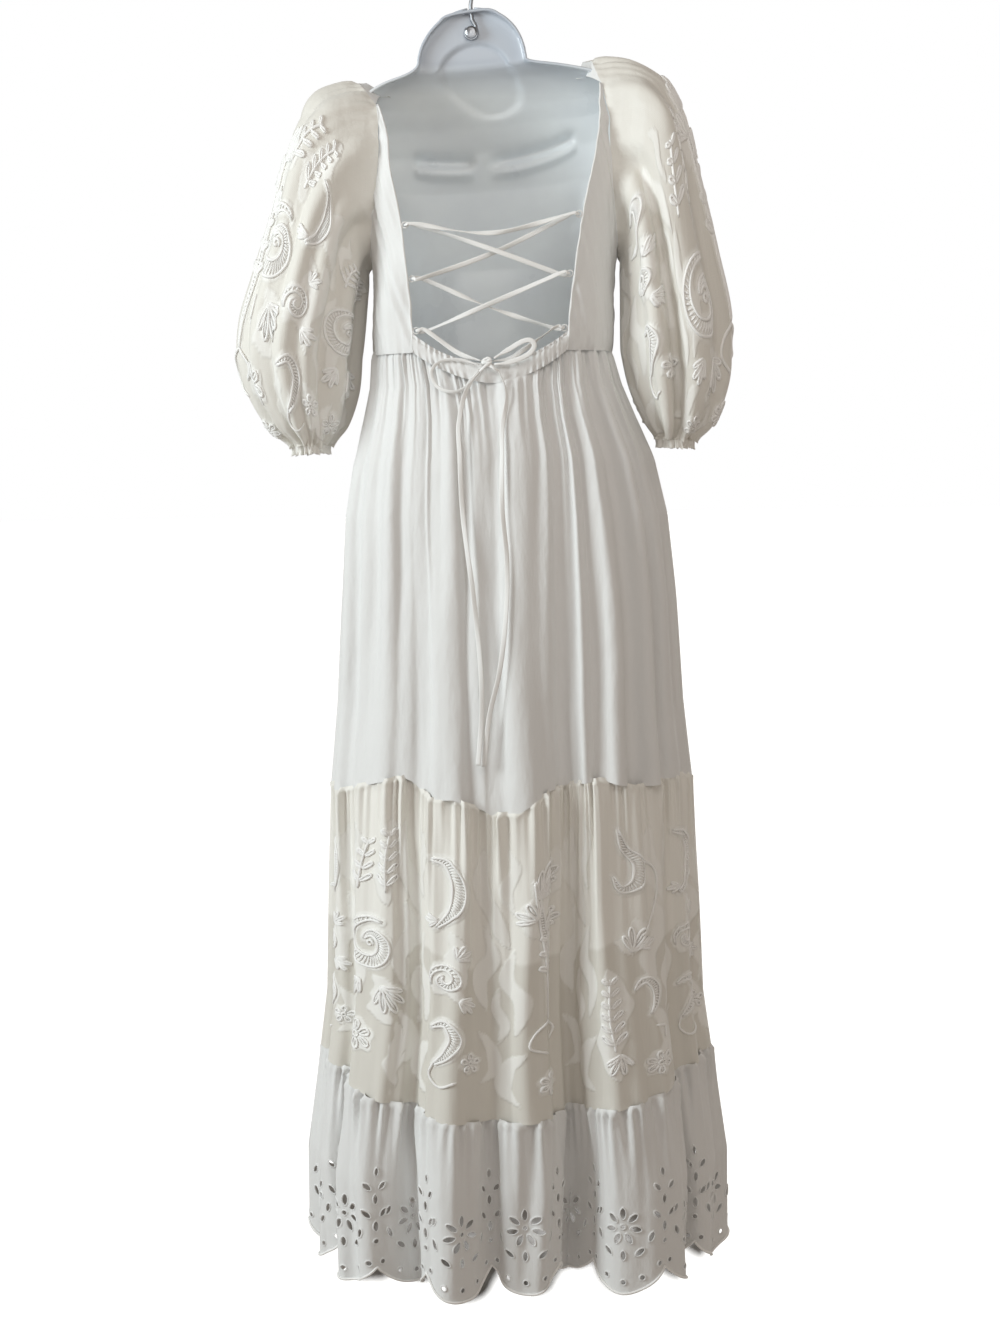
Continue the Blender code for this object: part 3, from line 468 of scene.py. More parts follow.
def ribbon(name, points, turns, widths, material, thickness):
    # a flat woven tape along a path; turns are its twists away from facing outwards
    sides = 10
    tangent = np.gradient(points, axis=0)
    tangent /= np.linalg.norm(tangent, axis=1, keepdims=True)
    facing = np.array((0.0, -1.0, 0.0)) + tangent * tangent[:, 1:2]
    facing /= np.linalg.norm(facing, axis=1, keepdims=True)
    across = np.cross(tangent, facing)
    rings = []
    for place, point in enumerate(points):
        turn = turns[place]
        wide = across[place] * math.cos(turn) + facing[place] * math.sin(turn)
        thick = facing[place] * math.cos(turn) - across[place] * math.sin(turn)
        ring = []
        for side in range(sides):
            angle = 2 * math.pi * side / sides
            out = math.copysign(abs(math.cos(angle)) ** 0.6, math.cos(angle))
            ring.append(point + wide * out * widths[place] / 2 + thick * math.sin(angle) * thickness / 2)
        rings.append(ring)
    faces = tubeFaces(len(points), sides)
    return meshPiece(name, np.array(rings).reshape(-1, 3), faces, material)


def loopPlace(side, z):
    edge = float(np.interp(z, clothShape["opening"][:, 0], clothShape["opening"][:, 1]))
    y = float(bodyOutline(angleAtX(edge, z), np.array(z))[..., 1])
    reach = laceSizes["loopRing"] + laceSizes["loopCord"] + laceSizes["loopGap"]
    return np.array((side * (edge - reach), y + 0.0008, z))


def throughLoop(middle, side, first, height=0.0044):
    inward = np.array((-side, 0, 0))
    steps = ((0.0110, first), (0.0036, first), (0.0002, 0.5 * first), (0.0, 0.0), (0.0002, -0.5 * first),
             (0.0036, -first), (0.0110, -first))
    return [middle + inward * reach + np.array((0, height * level, 0)) for reach, level in steps]


def surfaceY(x, z, reach=0.011):
    theta = np.radians(np.linspace(-60, 60, 721))
    surface = foldedOutline if z < clothShape["waist"] - clothShape["waistDip"] else bodyOutline
    points = surface(theta, z + 0 * theta)
    return float(points[np.abs(points[:, 0] - x) < reach, 1].min())


def onSkirt(places):
    return [np.array((x, surfaceY(x, z) - lift, z)) for x, z, lift in places]


def lacingRoute(knot):
    outside, inside = -1.0, 1.0
    left = [loopPlace(-1, z) for z in laceSizes["loops"]]
    right = [loopPlace(1, z) for z in laceSizes["loops"]]

    def middle(start, end, push, drop):
        return [(start + end) / 2 + np.array((0, push, -drop))]

    route = [knot + np.array((-0.0064, 0.0018, 0.0012)), knot + np.array((-0.030, 0.006, 0.010))]
    route += throughLoop(left[2], -1, outside) + middle(left[2], right[1], -0.0030, 0.000)
    route += throughLoop(right[1], 1, outside) + middle(right[1], left[0], -0.0030, 0.000)
    route += throughLoop(left[0], -1, inside) + middle(left[0], right[0], -0.0050, 0.015)
    route += throughLoop(right[0], 1, outside) + middle(right[0], left[1], 0.0034, 0.004)
    route += throughLoop(left[1], -1, outside) + middle(left[1], right[2], 0.0034, 0.004)
    route += throughLoop(right[2], 1, inside)
    route += [knot + np.array((0.030, 0.006, 0.006)), knot + np.array((0.0064, 0.0018, 0.0005))]
    return route, np.array(left + right)


def layLace():
    width, thin = laceSizes["width"], laceSizes["thickness"]
    knotX, knotZ = laceSizes["knot"]
    knot = np.array((knotX, surfaceY(knotX, knotZ) - 0.0040, knotZ))
    route, loops = lacingRoute(knot)
    path = smoothPath(route, 0.0022)
    near = np.min(np.linalg.norm(path[:, None, :] - loops[None], axis=2), axis=1)
    spreading = np.clip((near - 0.004) / 0.014, 0, 1)
    ends = np.clip(np.linalg.norm(path - knot, axis=1) / 0.022, 0.35, 1)
    widths = (laceSizes["bunched"] + (width - laceSizes["bunched"]) * spreading) * ends
    along = np.linspace(0, pathLength(path), len(path))
    turns = 0.85 * ripple(along, 0.16, 4, 3) * spreading + 0.25
    path = settle(path)
    lacing = ribbon("laceThroughLoops", path, turns, widths, laceWhite, thin)
    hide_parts("lacing")

    knotPlace = settle([knot])[0]
    wide, deep, high = laceSizes["knotHalf"]
    wraps = []
    for turn in np.linspace(0, 2 * math.pi * laceSizes["knotTurns"], 56):
        wraps.append(knotPlace + np.array((wide * math.cos(turn) + 0.0012 * math.sin(0.5 * turn),
                                           -0.0008 - deep * math.sin(turn + 0.6),
                                           high * math.sin(turn) * math.cos(0.22 * turn))))
    # the knot's two ends run out to the tops of the tails
    leftStart, rightStart = settle(onSkirt([laceSizes["leftTail"][0], laceSizes["rightTail"][0]]))
    wraps = np.array(wraps)
    outer = np.array((0, -0.0030, 0))
    wraps = smoothPath(np.vstack([leftStart, (leftStart + wraps[0]) / 2 + outer, wraps,
                                  (rightStart + wraps[-1]) / 2 + outer, rightStart]), 0.0008)
    apart = np.linalg.norm(wraps - knotPlace, axis=1)
    knotPiece = ribbon("laceKnot", wraps, 0.5 + 0 * apart, np.interp(apart, (0.005, 0.011), (0.0046, 0.0029)),
                       laceWhite, 0.0022)
    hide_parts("lace_knot")

    for name, node, key, farEnd, seed in (("laceTailLeft", "lace_tail_left", "leftTail", "bare", 11),
                                          ("laceTailRight", "lace_tail_right", "rightTail", "bare", 12),
                                          ("laceBowLeft", "bow_left", "leftBow", "knot", 13),
                                          ("laceBowRight", "bow_right", "rightBow", "knot", 14)):
        strand = settle(smoothPath(onSkirt(laceSizes[key]), 0.0024))
        along = np.linspace(0, pathLength(strand), len(strand))
        if farEnd == "bare":
            spread = np.clip(along / 0.02, 0.5, 1)
            turns = 0.45 * ripple(along, 0.13, seed, 3) + 0.9 * np.exp(-(along / 0.03) ** 2)
        else:
            spread = np.clip(np.minimum(along, along[-1] - along) / 0.016, 0.45, 1)
            turns = 0.5 * np.sin(along / along[-1] * 2 * math.pi) * (1 if key == "leftBow" else 0.25)
        breadth = width * (0.7 if key == "leftBow" else 1.0)     # the left bow is pulled narrow
        piece = ribbon(name, strand, turns, breadth * spread, laceWhite, thin)
        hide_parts(node)


layLace()
for side in ("left", "right"):
    for number in (1, 2, 3):
        bpy.data.objects[f"lace_loop_{side}_{number}"].data.materials[0] = laceWhite
for node in ("hook", "rivet"):
    bpy.data.objects[node].data.materials[0] = steel
print("lace laid")


# skirt tiers: cloth laid along the hem's length and gathered under each seam
tierSizes = {
    "upper": {"columns": 330, "rows": 96, "pleat": 0.0042, "pleatWave": 0.078, "gather": 0.0019,
              "gatherWave": 0.017, "gatherReach": 0.040, "cutWidth": 0.75},
    "middle": {"columns": 520, "rows": 168, "pleat": 0.0026, "pleatWave": 0.048, "gather": 0.0026,
               "gatherWave": 0.015, "gatherReach": 0.060, "cutWidth": 0.92},
    "lower": {"columns": 420, "rows": 0, "pleat": 0.0036, "pleatWave": 0.050, "gather": 0.0042,
              "gatherWave": 0.016, "gatherReach": 0.036, "cutWidth": 1.10},
}
halves = {"back": (-halfPi, halfPi), "front": (halfPi, 3 * halfPi)}
tierTuck = -0.011        # the allowance above each seam, as a share of the tier's height


def hemAngles(half):
    # shares of the way round one half, by length along the folded hem, and that length
    start, end = halves[half]
    dense = np.linspace(start, end, 4000)
    points = roundedOutline(dense, clothShape["hemBack"] + 0 * dense)
    along = np.concatenate([[0], np.cumsum(np.linalg.norm(np.diff(points, axis=0), axis=1))])
    return along, dense


halfLengths = {half: hemAngles(half) for half in halves}


def angleAt(half, share):
    along, dense = halfLengths[half]
    return np.interp(np.asarray(share) * along[-1], along, dense)


def shareAt(half, degrees):
    along, dense = halfLengths[half]
    return float(np.interp(math.radians(degrees), dense, along) / along[-1])


def waistLine(theta):
    x = bodyOutline(theta, clothShape["waist"] + 0 * theta)[..., 0]
    share = np.clip(1 - (x / clothShape["opening"][0, 1]) ** 2, 0, 1) * (np.cos(theta) > 0)
    return clothShape["waist"] - clothShape["waistDip"] * share


def seamOneLine(theta):
    wave = clothShape["seamWave"]
    return clothShape["seamOne"] + np.interp(np.degrees(theta), wave[:, 0], wave[:, 1], period=360)


def seamTwoLine(theta):
    return clothShape["seamTwo"] + clothShape["seamTwoRise"] * np.sin(theta) ** 2


def tipLine(theta):
    middle = (clothShape["hemBack"] + clothShape["hemFront"]) / 2
    return middle + (clothShape["hemBack"] - clothShape["hemFront"]) / 2 * np.cos(theta)


tierEdges = {"upper": (waistLine, seamOneLine), "middle": (seamOneLine, seamTwoLine),
             "lower": (seamTwoLine, tipLine)}


# sharp creases that start in each seam: how many, height, width and reach
creaseSizes = {"upper": (16, 0.0030, 0.0050, 0.20), "middle": (26, 0.0042, 0.0042, 0.13),
               "lower": (34, 0.0040, 0.0040, 0.055)}


def creases(tier, run, below, seed):
    count, height, width, reach = creaseSizes[tier]
    picks = np.random.default_rng(seed)
    total = 0 * run
    for number in range(count * 2):
        place = (number + picks.uniform(0.1, 0.9)) / count * 1.1 + (0 if number < count else 0.9)
        slant, tall = picks.uniform(-0.10, 0.10), height * picks.uniform(0.4, 1.2)
        wide, long = width * picks.uniform(0.7, 1.6), reach * picks.uniform(0.4, 1.5)
        away = (run - place - slant * below) / (wide * (1 + np.clip(below, 0, 1) / long * 0.6))
        total = total + tall * np.exp(-away ** 2 - (below / long) ** 2)
    return total


def clothPoint(tier, half, share, drop, lift=0.0):
    # a point of a tier: share of the way round the half, drop from its top (0) to its foot (1)
    share, drop = np.asarray(share, dtype=float), np.asarray(drop, dtype=float)
    look = tierSizes[tier]
    top, foot = tierEdges[tier]
    theta = angleAt(half, share)
    high, low = top(theta), foot(theta)
    z = high + (low - high) * drop
    length = halfLengths[half][0][-1]
    run = share * length + (2.0 if half == "front" else 0.0)
    below = (high - low) * drop
    seed = {"upper": 21, "middle": 22, "lower": 23}[tier]
    ease = np.clip(np.minimum(share, 1 - share) * length / 0.03, 0, 1)     # calm at the side seams
    gathered = np.exp(-below / look["gatherReach"]) * np.clip(below / 0.006 + 0.35, 0, 1)
    sway = 0.006 * np.sin(below * 14 + run * 9)
    wave = look["gather"] * gathered * ripple(run, look["gatherWave"], seed)
    reach = look["gatherReach"] * 2.4
    broad = ripple(run + sway, look["gatherWave"] * 2.1, seed + 7)
    longer = look["gather"] * 0.7 * np.exp(-below / reach) * broad
    grown = 0.35 + 0.65 * np.clip(below / 0.08, 0, 1)           # the pleats open out below the seam
    pleat = look["pleat"] * ripple(run + sway, look["pleatWave"], seed + 3) * grown
    fade = 1.0 if tier != "lower" else np.clip(1.15 - drop * 0.35, 0, 1)
    out = (wave + longer + pleat * fade + creases(tier, run, below, seed + 20)) * ease + lift
    nudge = 0.0012 * np.exp(-(below / 0.004) ** 2) if tier != "upper" else 0.0     # the seam's ridge
    nudge = nudge - 0.0022 * np.clip(-below / 0.002, 0, 1)      # the seam allowance tucks in behind
    surface = roundedOutline(theta, z) + levelNormal(roundedOutline, theta, z) * (out + nudge)[..., None]
    return settle(surface)


def tierGrid(tier, half):
    look = tierSizes[tier]
    share, drop = np.meshgrid(np.linspace(0, 1, look["columns"]), np.linspace(1, tierTuck, look["rows"]))
    points = clothPoint(tier, half, share, drop)
    length = halfLengths[half][0][-1]
    top, foot = tierEdges[tier]
    height = float(np.mean(top(angleAt(half, share[0])) - foot(angleAt(half, share[0]))))
    uv = np.stack([share * length, (1 - drop) * height], axis=-1)
    return points, share, drop, uv.reshape(-1, 2), height


def sewTier(tier, half, finish):
    points, share, drop, uv, height = tierGrid(tier, half)
    rows, columns = share.shape
    name = f"{tier}Tier{half.capitalize()}"
    node = f"skirt_{tier}_{half}"
    piece = meshPiece(name, points.reshape(-1, 3), gridFaces(rows, columns), finish, uv)
    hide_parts(node)
    return piece, share, drop, height


for half in halves:
    piece, share, drop, height = sewTier("upper", half, cotton)
print("upper tier sewn")


# embroidery: cords laid on the sheer cloth, and pale patches under them
stitch = {"cord": 0.00145, "rung": 0.0012, "step": 0.0030, "sides": 5, "motifWidth": 1.18,
          "patchReach": 0.06}
# the lining under the middle tier: where its hem comes, as a share of the tier, and how it covers
lining = {"hem": 0.50, "waver": 0.02, "soft": 0.012, "cover": 0.8}


def spiral(centre, start, end, turns, begin=0.0, hand=1):
    count = max(10, int(turns * math.pi * (start + end) / stitch["step"]))
    t = np.linspace(0, 1, count)
    radius = start + (end - start) * t ** 0.85
    angle = math.radians(begin) + hand * 2 * math.pi * turns * t
    return np.column_stack([centre[0] + radius * np.cos(angle), centre[1] + radius * np.sin(angle)])


def curve(*points):
    flat = [(x, 0.0, y) for x, y in points]
    return smoothPath(flat, stitch["step"])[:, (0, 2)]


def band(line, width):
    # a raised band: two cords that taper together, filled with close rungs
    taper = np.sin(np.linspace(0.16, math.pi - 0.16, len(line)))[:, None]
    along = np.gradient(line, axis=0)
    along /= np.linalg.norm(along, axis=1, keepdims=True) + 1e-9
    side = np.column_stack([-along[:, 1], along[:, 0]]) * width / 2 * taper
    strokes = [("cord", line + side), ("cord", line - side)]
    for place in range(1, len(line) - 1):
        slant = along[place] * stitch["step"] * 0.5
        strokes.append(("rung", np.array([line[place] + side[place] + slant, line[place],
                                          line[place] - side[place] - slant])))
    return strokes


def leafLoop(root, tip, width):
    root, tip = np.array(root, dtype=float), np.array(tip, dtype=float)
    along = tip - root
    across = np.array((-along[1], along[0])) / (np.linalg.norm(along) + 1e-9)
    t = np.linspace(0, 2 * math.pi, max(10, int(2.4 * np.linalg.norm(along) / stitch["step"])))
    out = 0.5 - 0.5 * np.cos(t)
    return root + along * out[:, None] + across * (np.sin(t) * width / 2 * (0.4 + 0.6 * out))[:, None]


def frond(root, length, lean, count, spread):
    # claws that fan out from one root, each an outline with a line down its middle
    strokes = []
    for number in range(count):
        angle = math.radians(lean + spread * (number / (count - 1) - 0.5))
        reach = length * (0.72 + 0.28 * math.sin(math.pi * number / (count - 1)))
        tip = np.array((root[0] + reach * math.sin(angle), root[1] + reach * math.cos(angle)))
        strokes.append(("cord", leafLoop(root, tip, reach * 0.26)))
        near, far = np.array(root) * 0.7 + tip * 0.3, np.array(root) * 0.1 + tip * 0.9
        strokes.append(("rung", np.linspace(near, far, 4)))
    return strokes


def sprig(root, tip, pairs, leaf):
    # a stem with slanting leaves on both sides
    root, tip = np.array(root, dtype=float), np.array(tip, dtype=float)
    along = (tip - root) / np.linalg.norm(tip - root)
    across = np.array((-along[1], along[0]))
    strokes = [("cord", curve(root, (root + tip) / 2 + across * leaf * 0.15, tip))]
    for number in range(pairs):
        place = root + (tip - root) * (number + 0.6) / pairs
        size = leaf * (1 - 0.45 * number / pairs)
        for hand in (-1, 1):
            reach = (along * 0.9 + across * hand) * size * 0.8
            strokes.append(("cord", leafLoop(place, place + reach, size * 0.42)))
            strokes.append(("rung", np.linspace(place + reach * 0.2, place + reach * 0.85, 3)))
    return strokes


def flower(centre, radius, petals):
    strokes = [("cord", spiral(centre, radius * 0.20, radius * 0.20, 1.0))]
    for number in range(petals):
        angle = 2 * math.pi * number / petals
        tip = (centre[0] + radius * math.sin(angle), centre[1] + radius * math.cos(angle))
        root = (centre[0] + radius * 0.25 * math.sin(angle), centre[1] + radius * 0.25 * math.cos(angle))
        strokes.append(("cord", leafLoop(root, tip, radius * 0.62)))
        strokes.append(("rung", np.linspace(root, np.array(tip) * 0.8 + np.array(root) * 0.2, 3)))
    return strokes


def scrollColumn():
    # a large filled spiral under two sprigs, with fans and a pale flower below
    scroll = spiral((-0.002, 0.168), 0.0070, 0.0290, 1.25, 150, -1)
    strokes = band(scroll, 0.0125)
    strokes += [("cord", spiral((-0.002, 0.168), 0.0015, 0.0040, 1.0, 330, -1))]
    strokes += sprig((0.016, 0.226), (0.020, 0.292), 5, 0.014)
    strokes += sprig((-0.016, 0.228), (-0.006, 0.284), 4, 0.013)
    strokes += frond((0.012, 0.124), 0.030, 150, 5, 100)
    strokes += frond((-0.012, 0.126), 0.022, 215, 4, 70)
    strokes += [("rung", line) for _, line in flower((-0.014, 0.062), 0.0165, 6)]
    patches = [("band", scroll, 0.021), ("disc", (-0.014, 0.062), 0.019),
               ("leaf", (0.018, 0.212), (0.020, 0.305), 0.030),
               ("leaf", (0.002, 0.135), (0.022, 0.085), 0.030),
               ("leaf", (0.026, 0.088), (0.030, 0.018), 0.018)]
    return strokes, patches


def crescentColumn():
    # a crescent over a small spiral with a fan, then a comma and a small flower
    crescent = curve((-0.014, 0.282), (0.002, 0.276), (0.012, 0.254), (0.008, 0.228), (-0.008, 0.208))
    twist = spiral((0.000, 0.154), 0.0030, 0.0150, 1.25, 120)
    comma = curve((-0.014, 0.100), (0.000, 0.106), (0.009, 0.092), (0.002, 0.074), (-0.010, 0.060))
    strokes = band(crescent, 0.0110) + band(twist, 0.0072) + band(comma, 0.0090)
    strokes += frond((-0.006, 0.216), 0.017, 265, 3, 60)
    strokes += frond((0.010, 0.178), 0.017, 40, 4, 90)
    strokes += frond((0.012, 0.134), 0.019, 120, 4, 80)
    strokes += [("cord", curve((-0.010, 0.062), (-0.014, 0.048), (-0.004, 0.038), (0.010, 0.046)))]
    strokes += flower((0.024, 0.066), 0.0105, 5)
    patches = [("band", crescent, 0.020), ("band", twist, 0.016), ("band", comma, 0.018),
               ("disc", (0.000, 0.154), 0.018), ("disc", (0.024, 0.066), 0.012),
               ("leaf", (0.014, 0.130), (0.004, 0.205), 0.026)]
    return strokes, patches


def branchColumn():
    # a claw head on a long stem with a hook at its foot, over a small flower
    stem = curve((-0.006, 0.262), (0.000, 0.215), (0.007, 0.160), (0.006, 0.108))
    strokes = band(stem, 0.0060)
    strokes += frond((-0.002, 0.240), 0.040, 34, 5, 60) + frond((-0.004, 0.220), 0.024, -34, 4, 80)
    strokes += frond((0.002, 0.206), 0.026, 60, 4, 60) + sprig((0.006, 0.150), (0.004, 0.200), 3, 0.011)
    strokes += [("cord", curve((0.006, 0.108), (-0.008, 0.098), (-0.012, 0.084), (0.004, 0.072)))]
    strokes += [("cord", curve((0.006, 0.108), (0.018, 0.096), (0.012, 0.084)))]
    strokes += flower((0.006, 0.040), 0.012, 6)
    patches = [("band", stem, 0.014), ("leaf", (-0.006, 0.200), (0.026, 0.285), 0.034),
               ("disc", (0.006, 0.040), 0.014)]
    return strokes, patches


def paisleyColumn():
    # a paisley with a long trailing line, a claw, a comma, a feather and a flower
    paisley = curve((-0.008, 0.296), (-0.002, 0.276), (0.010, 0.262), (0.008, 0.240), (-0.006, 0.232),
                    (-0.014, 0.246))
    comma = curve((0.002, 0.122), (0.012, 0.132), (0.022, 0.120), (0.022, 0.104), (0.016, 0.092))
    strokes = band(paisley, 0.0105) + band(comma, 0.0075)
    strand = curve((0.012, 0.266), (0.027, 0.252), (0.029, 0.226), (0.022, 0.198), (0.008, 0.180))
    strokes += [("cord", strand)]
    strokes += frond((0.002, 0.164), 0.028, 10, 4, 70) + frond((0.006, 0.170), 0.018, 80, 3, 50)
    strokes += sprig((-0.018, 0.062), (-0.020, 0.138), 6, 0.014)
    strokes += frond((-0.014, 0.058), 0.022, 190, 4, 90)
    strokes += flower((0.020, 0.036), 0.012, 6)
    strokes += [("cord", curve((0.020, 0.078), (0.030, 0.072), (0.028, 0.060)))]
    patches = [("band", paisley, 0.019), ("band", comma, 0.015),
               ("leaf", (-0.016, 0.030), (-0.022, 0.150), 0.030),
               ("leaf", (0.002, 0.160), (0.006, 0.200), 0.026), ("disc", (0.020, 0.036), 0.014)]
    return strokes, patches


def groundLeaves():
    # pale scrolling leaves in the sheer ground between the columns
    flames = (((0.012, 0.196), (-0.002, 0.232), (-0.016, 0.262), (-0.012, 0.300), 0.022),
              ((0.018, 0.232), (0.012, 0.258), (0.020, 0.284), (0.014, 0.304), 0.012),
              ((-0.014, 0.124), (-0.020, 0.158), (-0.004, 0.184), (-0.012, 0.216), 0.020),
              ((0.018, 0.100), (0.024, 0.134), (0.010, 0.160), (0.018, 0.194), 0.017),
              ((0.000, 0.088), (0.006, 0.108), (-0.002, 0.128), (0.002, 0.150), 0.012),
              ((-0.020, 0.044), (-0.006, 0.056), (-0.008, 0.080), (-0.022, 0.100), 0.016),
              ((0.020, 0.020), (0.004, 0.036), (0.010, 0.062), (0.026, 0.078), 0.018))
    return [], [("flame", curve(*places), width) for *places, width in flames]


def patchShare(a, b, patches):
    # how far points of the flat cloth are inside the patches, from 0 to 1
    soft = 0.0018
    inside = np.zeros(len(a))
    for kind, first, second, *more in patches:
        if kind == "disc":
            edge = second - np.hypot(a - first[0], b - first[1])
            angle = np.arctan2(b - first[1], a - first[0])
            edge = edge + second * 0.10 * np.sin(6 * angle + first[1] * 90)
        elif kind in ("band", "flame"):
            away = np.hypot(a[:, None] - first[:, 0], b[:, None] - first[:, 1])
            share = away.argmin(axis=1) / (len(first) - 1)
            ends = (0.10, 0.80) if kind == "band" else (0.02, 0.96)
            edge = second / 2 * np.sin(math.pi * (ends[0] + ends[1] * share)) ** 0.75 - away.min(axis=1)
        else:
            along = np.subtract(second, first)
            length = float(np.linalg.norm(along))
            unit = along / length
            t = (a - first[0]) * unit[0] + (b - first[1]) * unit[1]
            off = -(a - first[0]) * unit[1] + (b - first[1]) * unit[0]
            share = np.clip(t / length, 0, 1)
            bend = 0.22 * more[0] * np.sin(math.pi * share * 2)
            half = more[0] / 2 * np.sin(math.pi * share) ** 0.7 * (1 + 0.16 * np.sin(share * 22))
            edge = np.where((t > 0) & (t < length), half - np.abs(off - bend), -1.0)
        inside = np.maximum(inside, np.clip(edge / soft + 0.5, 0, 1))
    return inside


def layStitches(name, strokes, place):
    # each stroke becomes a round cord, half sunk in the cloth; place maps flat cloth to the dress
    sides = stitch["sides"]
    flats, lifts, allFaces = [], [], []
    start = 0
    for kind, line in strokes:
        radius = stitch[kind]
        count = len(line)
        along = np.gradient(line, axis=0) if count > 2 else np.repeat(np.diff(line, axis=0), count, axis=0)
        along /= np.linalg.norm(along, axis=1, keepdims=True) + 1e-9
        side = np.column_stack([-along[:, 1], along[:, 0]])
        ends = np.ones(count)
        ends[0] = ends[-1] = 0.45
        for number in range(sides):
            angle = 2 * math.pi * number / sides
            flats.append(line + side * (radius * math.cos(angle) * ends)[:, None])
            lifts.append(radius * (0.60 + math.sin(angle)) * ends)
        for row in range(count - 1):
            for number in range(sides):
                following = (number + 1) % sides
                allFaces.append((start + number * count + row, start + following * count + row,
                                 start + following * count + row + 1, start + number * count + row + 1))
        allFaces.append(tuple(start + number * count for number in range(sides))[::-1])
        allFaces.append(tuple(start + number * count + count - 1 for number in range(sides)))
        start += sides * count
    points = place(np.concatenate(flats), np.concatenate(lifts))
    return meshPiece(name, points, allFaces, threadWhite)


# which motif stands where round the skirt, by the angle from the middle of the back
middleDesign = {
    "back": ((-76, crescentColumn), (-60, groundLeaves), (-46, scrollColumn), (-32, groundLeaves),
             (-19, crescentColumn), (-4, groundLeaves), (10, branchColumn), (23, groundLeaves),
             (38, paisleyColumn), (53, groundLeaves), (68, crescentColumn), (82, groundLeaves)),
    "front": ((104, scrollColumn), (123, crescentColumn), (140, groundLeaves), (158, scrollColumn),
              (176, branchColumn), (192, groundLeaves), (210, crescentColumn), (228, scrollColumn),
              (247, paisleyColumn), (262, groundLeaves)),
}


def embroiderMiddle(half):
    piece, share, drop, height = sewTier("middle", half, organza)
    length = halfLengths[half][0][-1]
    scale = np.array((length * 0.74, height))       # the cloth here is narrower than at the hem
    wide = stitch["motifWidth"]
    mask = np.zeros(share.size)
    strokes = []
    for degrees, column in middleDesign[half]:
        centre = shareAt(half, degrees) * scale[0]
        a, b = (share.ravel() * scale[0] - centre) / wide, (1 - drop.ravel()) * height
        newStrokes, patches = column()
        near = np.abs(a) < stitch["patchReach"]
        mask[near] = np.maximum(mask[near], patchShare(a[near], b[near], patches))
        strokes += [(kind, line * np.array((wide, 1)) + np.array((centre, 0))) for kind, line in newStrokes]

    def onCloth(flat, lift):
        return clothPoint("middle", half, np.clip(flat[:, 0] / scale[0], 0, 1), 1 - flat[:, 1] / height, lift)

    addFloatAttribute(piece, "patch", mask)
    edge = lining["hem"] + lining["waver"] * ripple(share.ravel() * length, 0.20, 81)
    lined = np.clip((edge - drop.ravel()) / lining["soft"], 0, 1) * lining["cover"]
    addFloatAttribute(piece, "lined", lined)
    cords = layStitches(f"middleEmbroidery{half.capitalize()}", strokes, onCloth)


for half in halves:
    embroiderMiddle(half)
print("middle tier embroidered")


# lower tier: cotton with cut eyelets, overcast rims and a scalloped hem
eyeletSizes = {
    "columnStep": 0.0032, "rowStep": 0.0050, "holePoints": 14, "clearance": 0.0013,
    "petals": 7, "flowerHeight": 0.077, "flowerReach": 0.0152, "petal": (0.0128, 0.0060), "centre": 0.0048,
    # across, height above the scallop's tip, lean in degrees, length, width
    "leaves": ((-0.0190, 0.0470, -52, 0.0120, 0.0054), (0.0190, 0.0470, 52, 0.0120, 0.0054),
               (-0.0330, 0.0640, -24, 0.0118, 0.0052), (0.0330, 0.0640, 24, 0.0118, 0.0052),
               (0.0000, 0.0440, 0, 0.0105, 0.0050), (-0.0340, 0.0900, 30, 0.0100, 0.0046)),
    # the sprig over each dip of the hem: across from the dip, height, lean, length, width
    "sprig": ((0.0, 0.0560, 0, 0.0050, 0.0050), (0.0, 0.0730, 0, 0.0115, 0.0052),
              (-0.0100, 0.0880, -42, 0.0112, 0.0050), (0.0100, 0.0880, 42, 0.0112, 0.0050),
              (0.0, 0.1040, 0, 0.0105, 0.0048), (-0.0090, 0.1190, -42, 0.0100, 0.0046),
              (0.0090, 0.1190, 42, 0.0100, 0.0046), (0.0, 0.1350, 0, 0.0090, 0.0042)),
    "edgeHoles": (-0.0430, -0.0215, 0.0, 0.0215, 0.0430), "edgeHole": 0.0052, "edgeInset": 0.0130,
    "rim": ((0.0003, -0.0006), (0.0000, 0.0008), (0.0009, 0.0012), (0.0018, 0.0001)),
}


def hemCurve(share):
    wave = np.abs(np.sin(math.pi * clothShape["scallops"] / 2 * share))
    return clothShape["scallopDepth"] * (1 - wave ** 0.8)


def eyeletHoles(length):
    cells = clothShape["scallops"] // 2
    cell = length / cells
    look = eyeletSizes
    holes = []
    for number in range(cells):
        tip = (number + 0.5) * cell
        for petal in range(look["petals"]):
            lean = 360 * petal / look["petals"]
            reach = look["flowerReach"]
            holes.append((tip + reach * math.sin(math.radians(lean)),
                          look["flowerHeight"] + reach * math.cos(math.radians(lean)), lean, *look["petal"]))
        holes.append((tip, look["flowerHeight"], 0, look["centre"], look["centre"]))
        holes += [(tip + across, height, lean, long, wide)
                  for across, height, lean, long, wide in look["leaves"]]
        for across in look["edgeHoles"]:
            height = hemCurve((tip + across) / length) + look["edgeInset"]
            holes.append((tip + across, float(height), 0, look["edgeHole"], look["edgeHole"]))
        if number > 0:
            dip = number * cell
            holes += [(dip + across, height, lean, long, wide)
                      for across, height, lean, long, wide in look["sprig"]]
    return holes


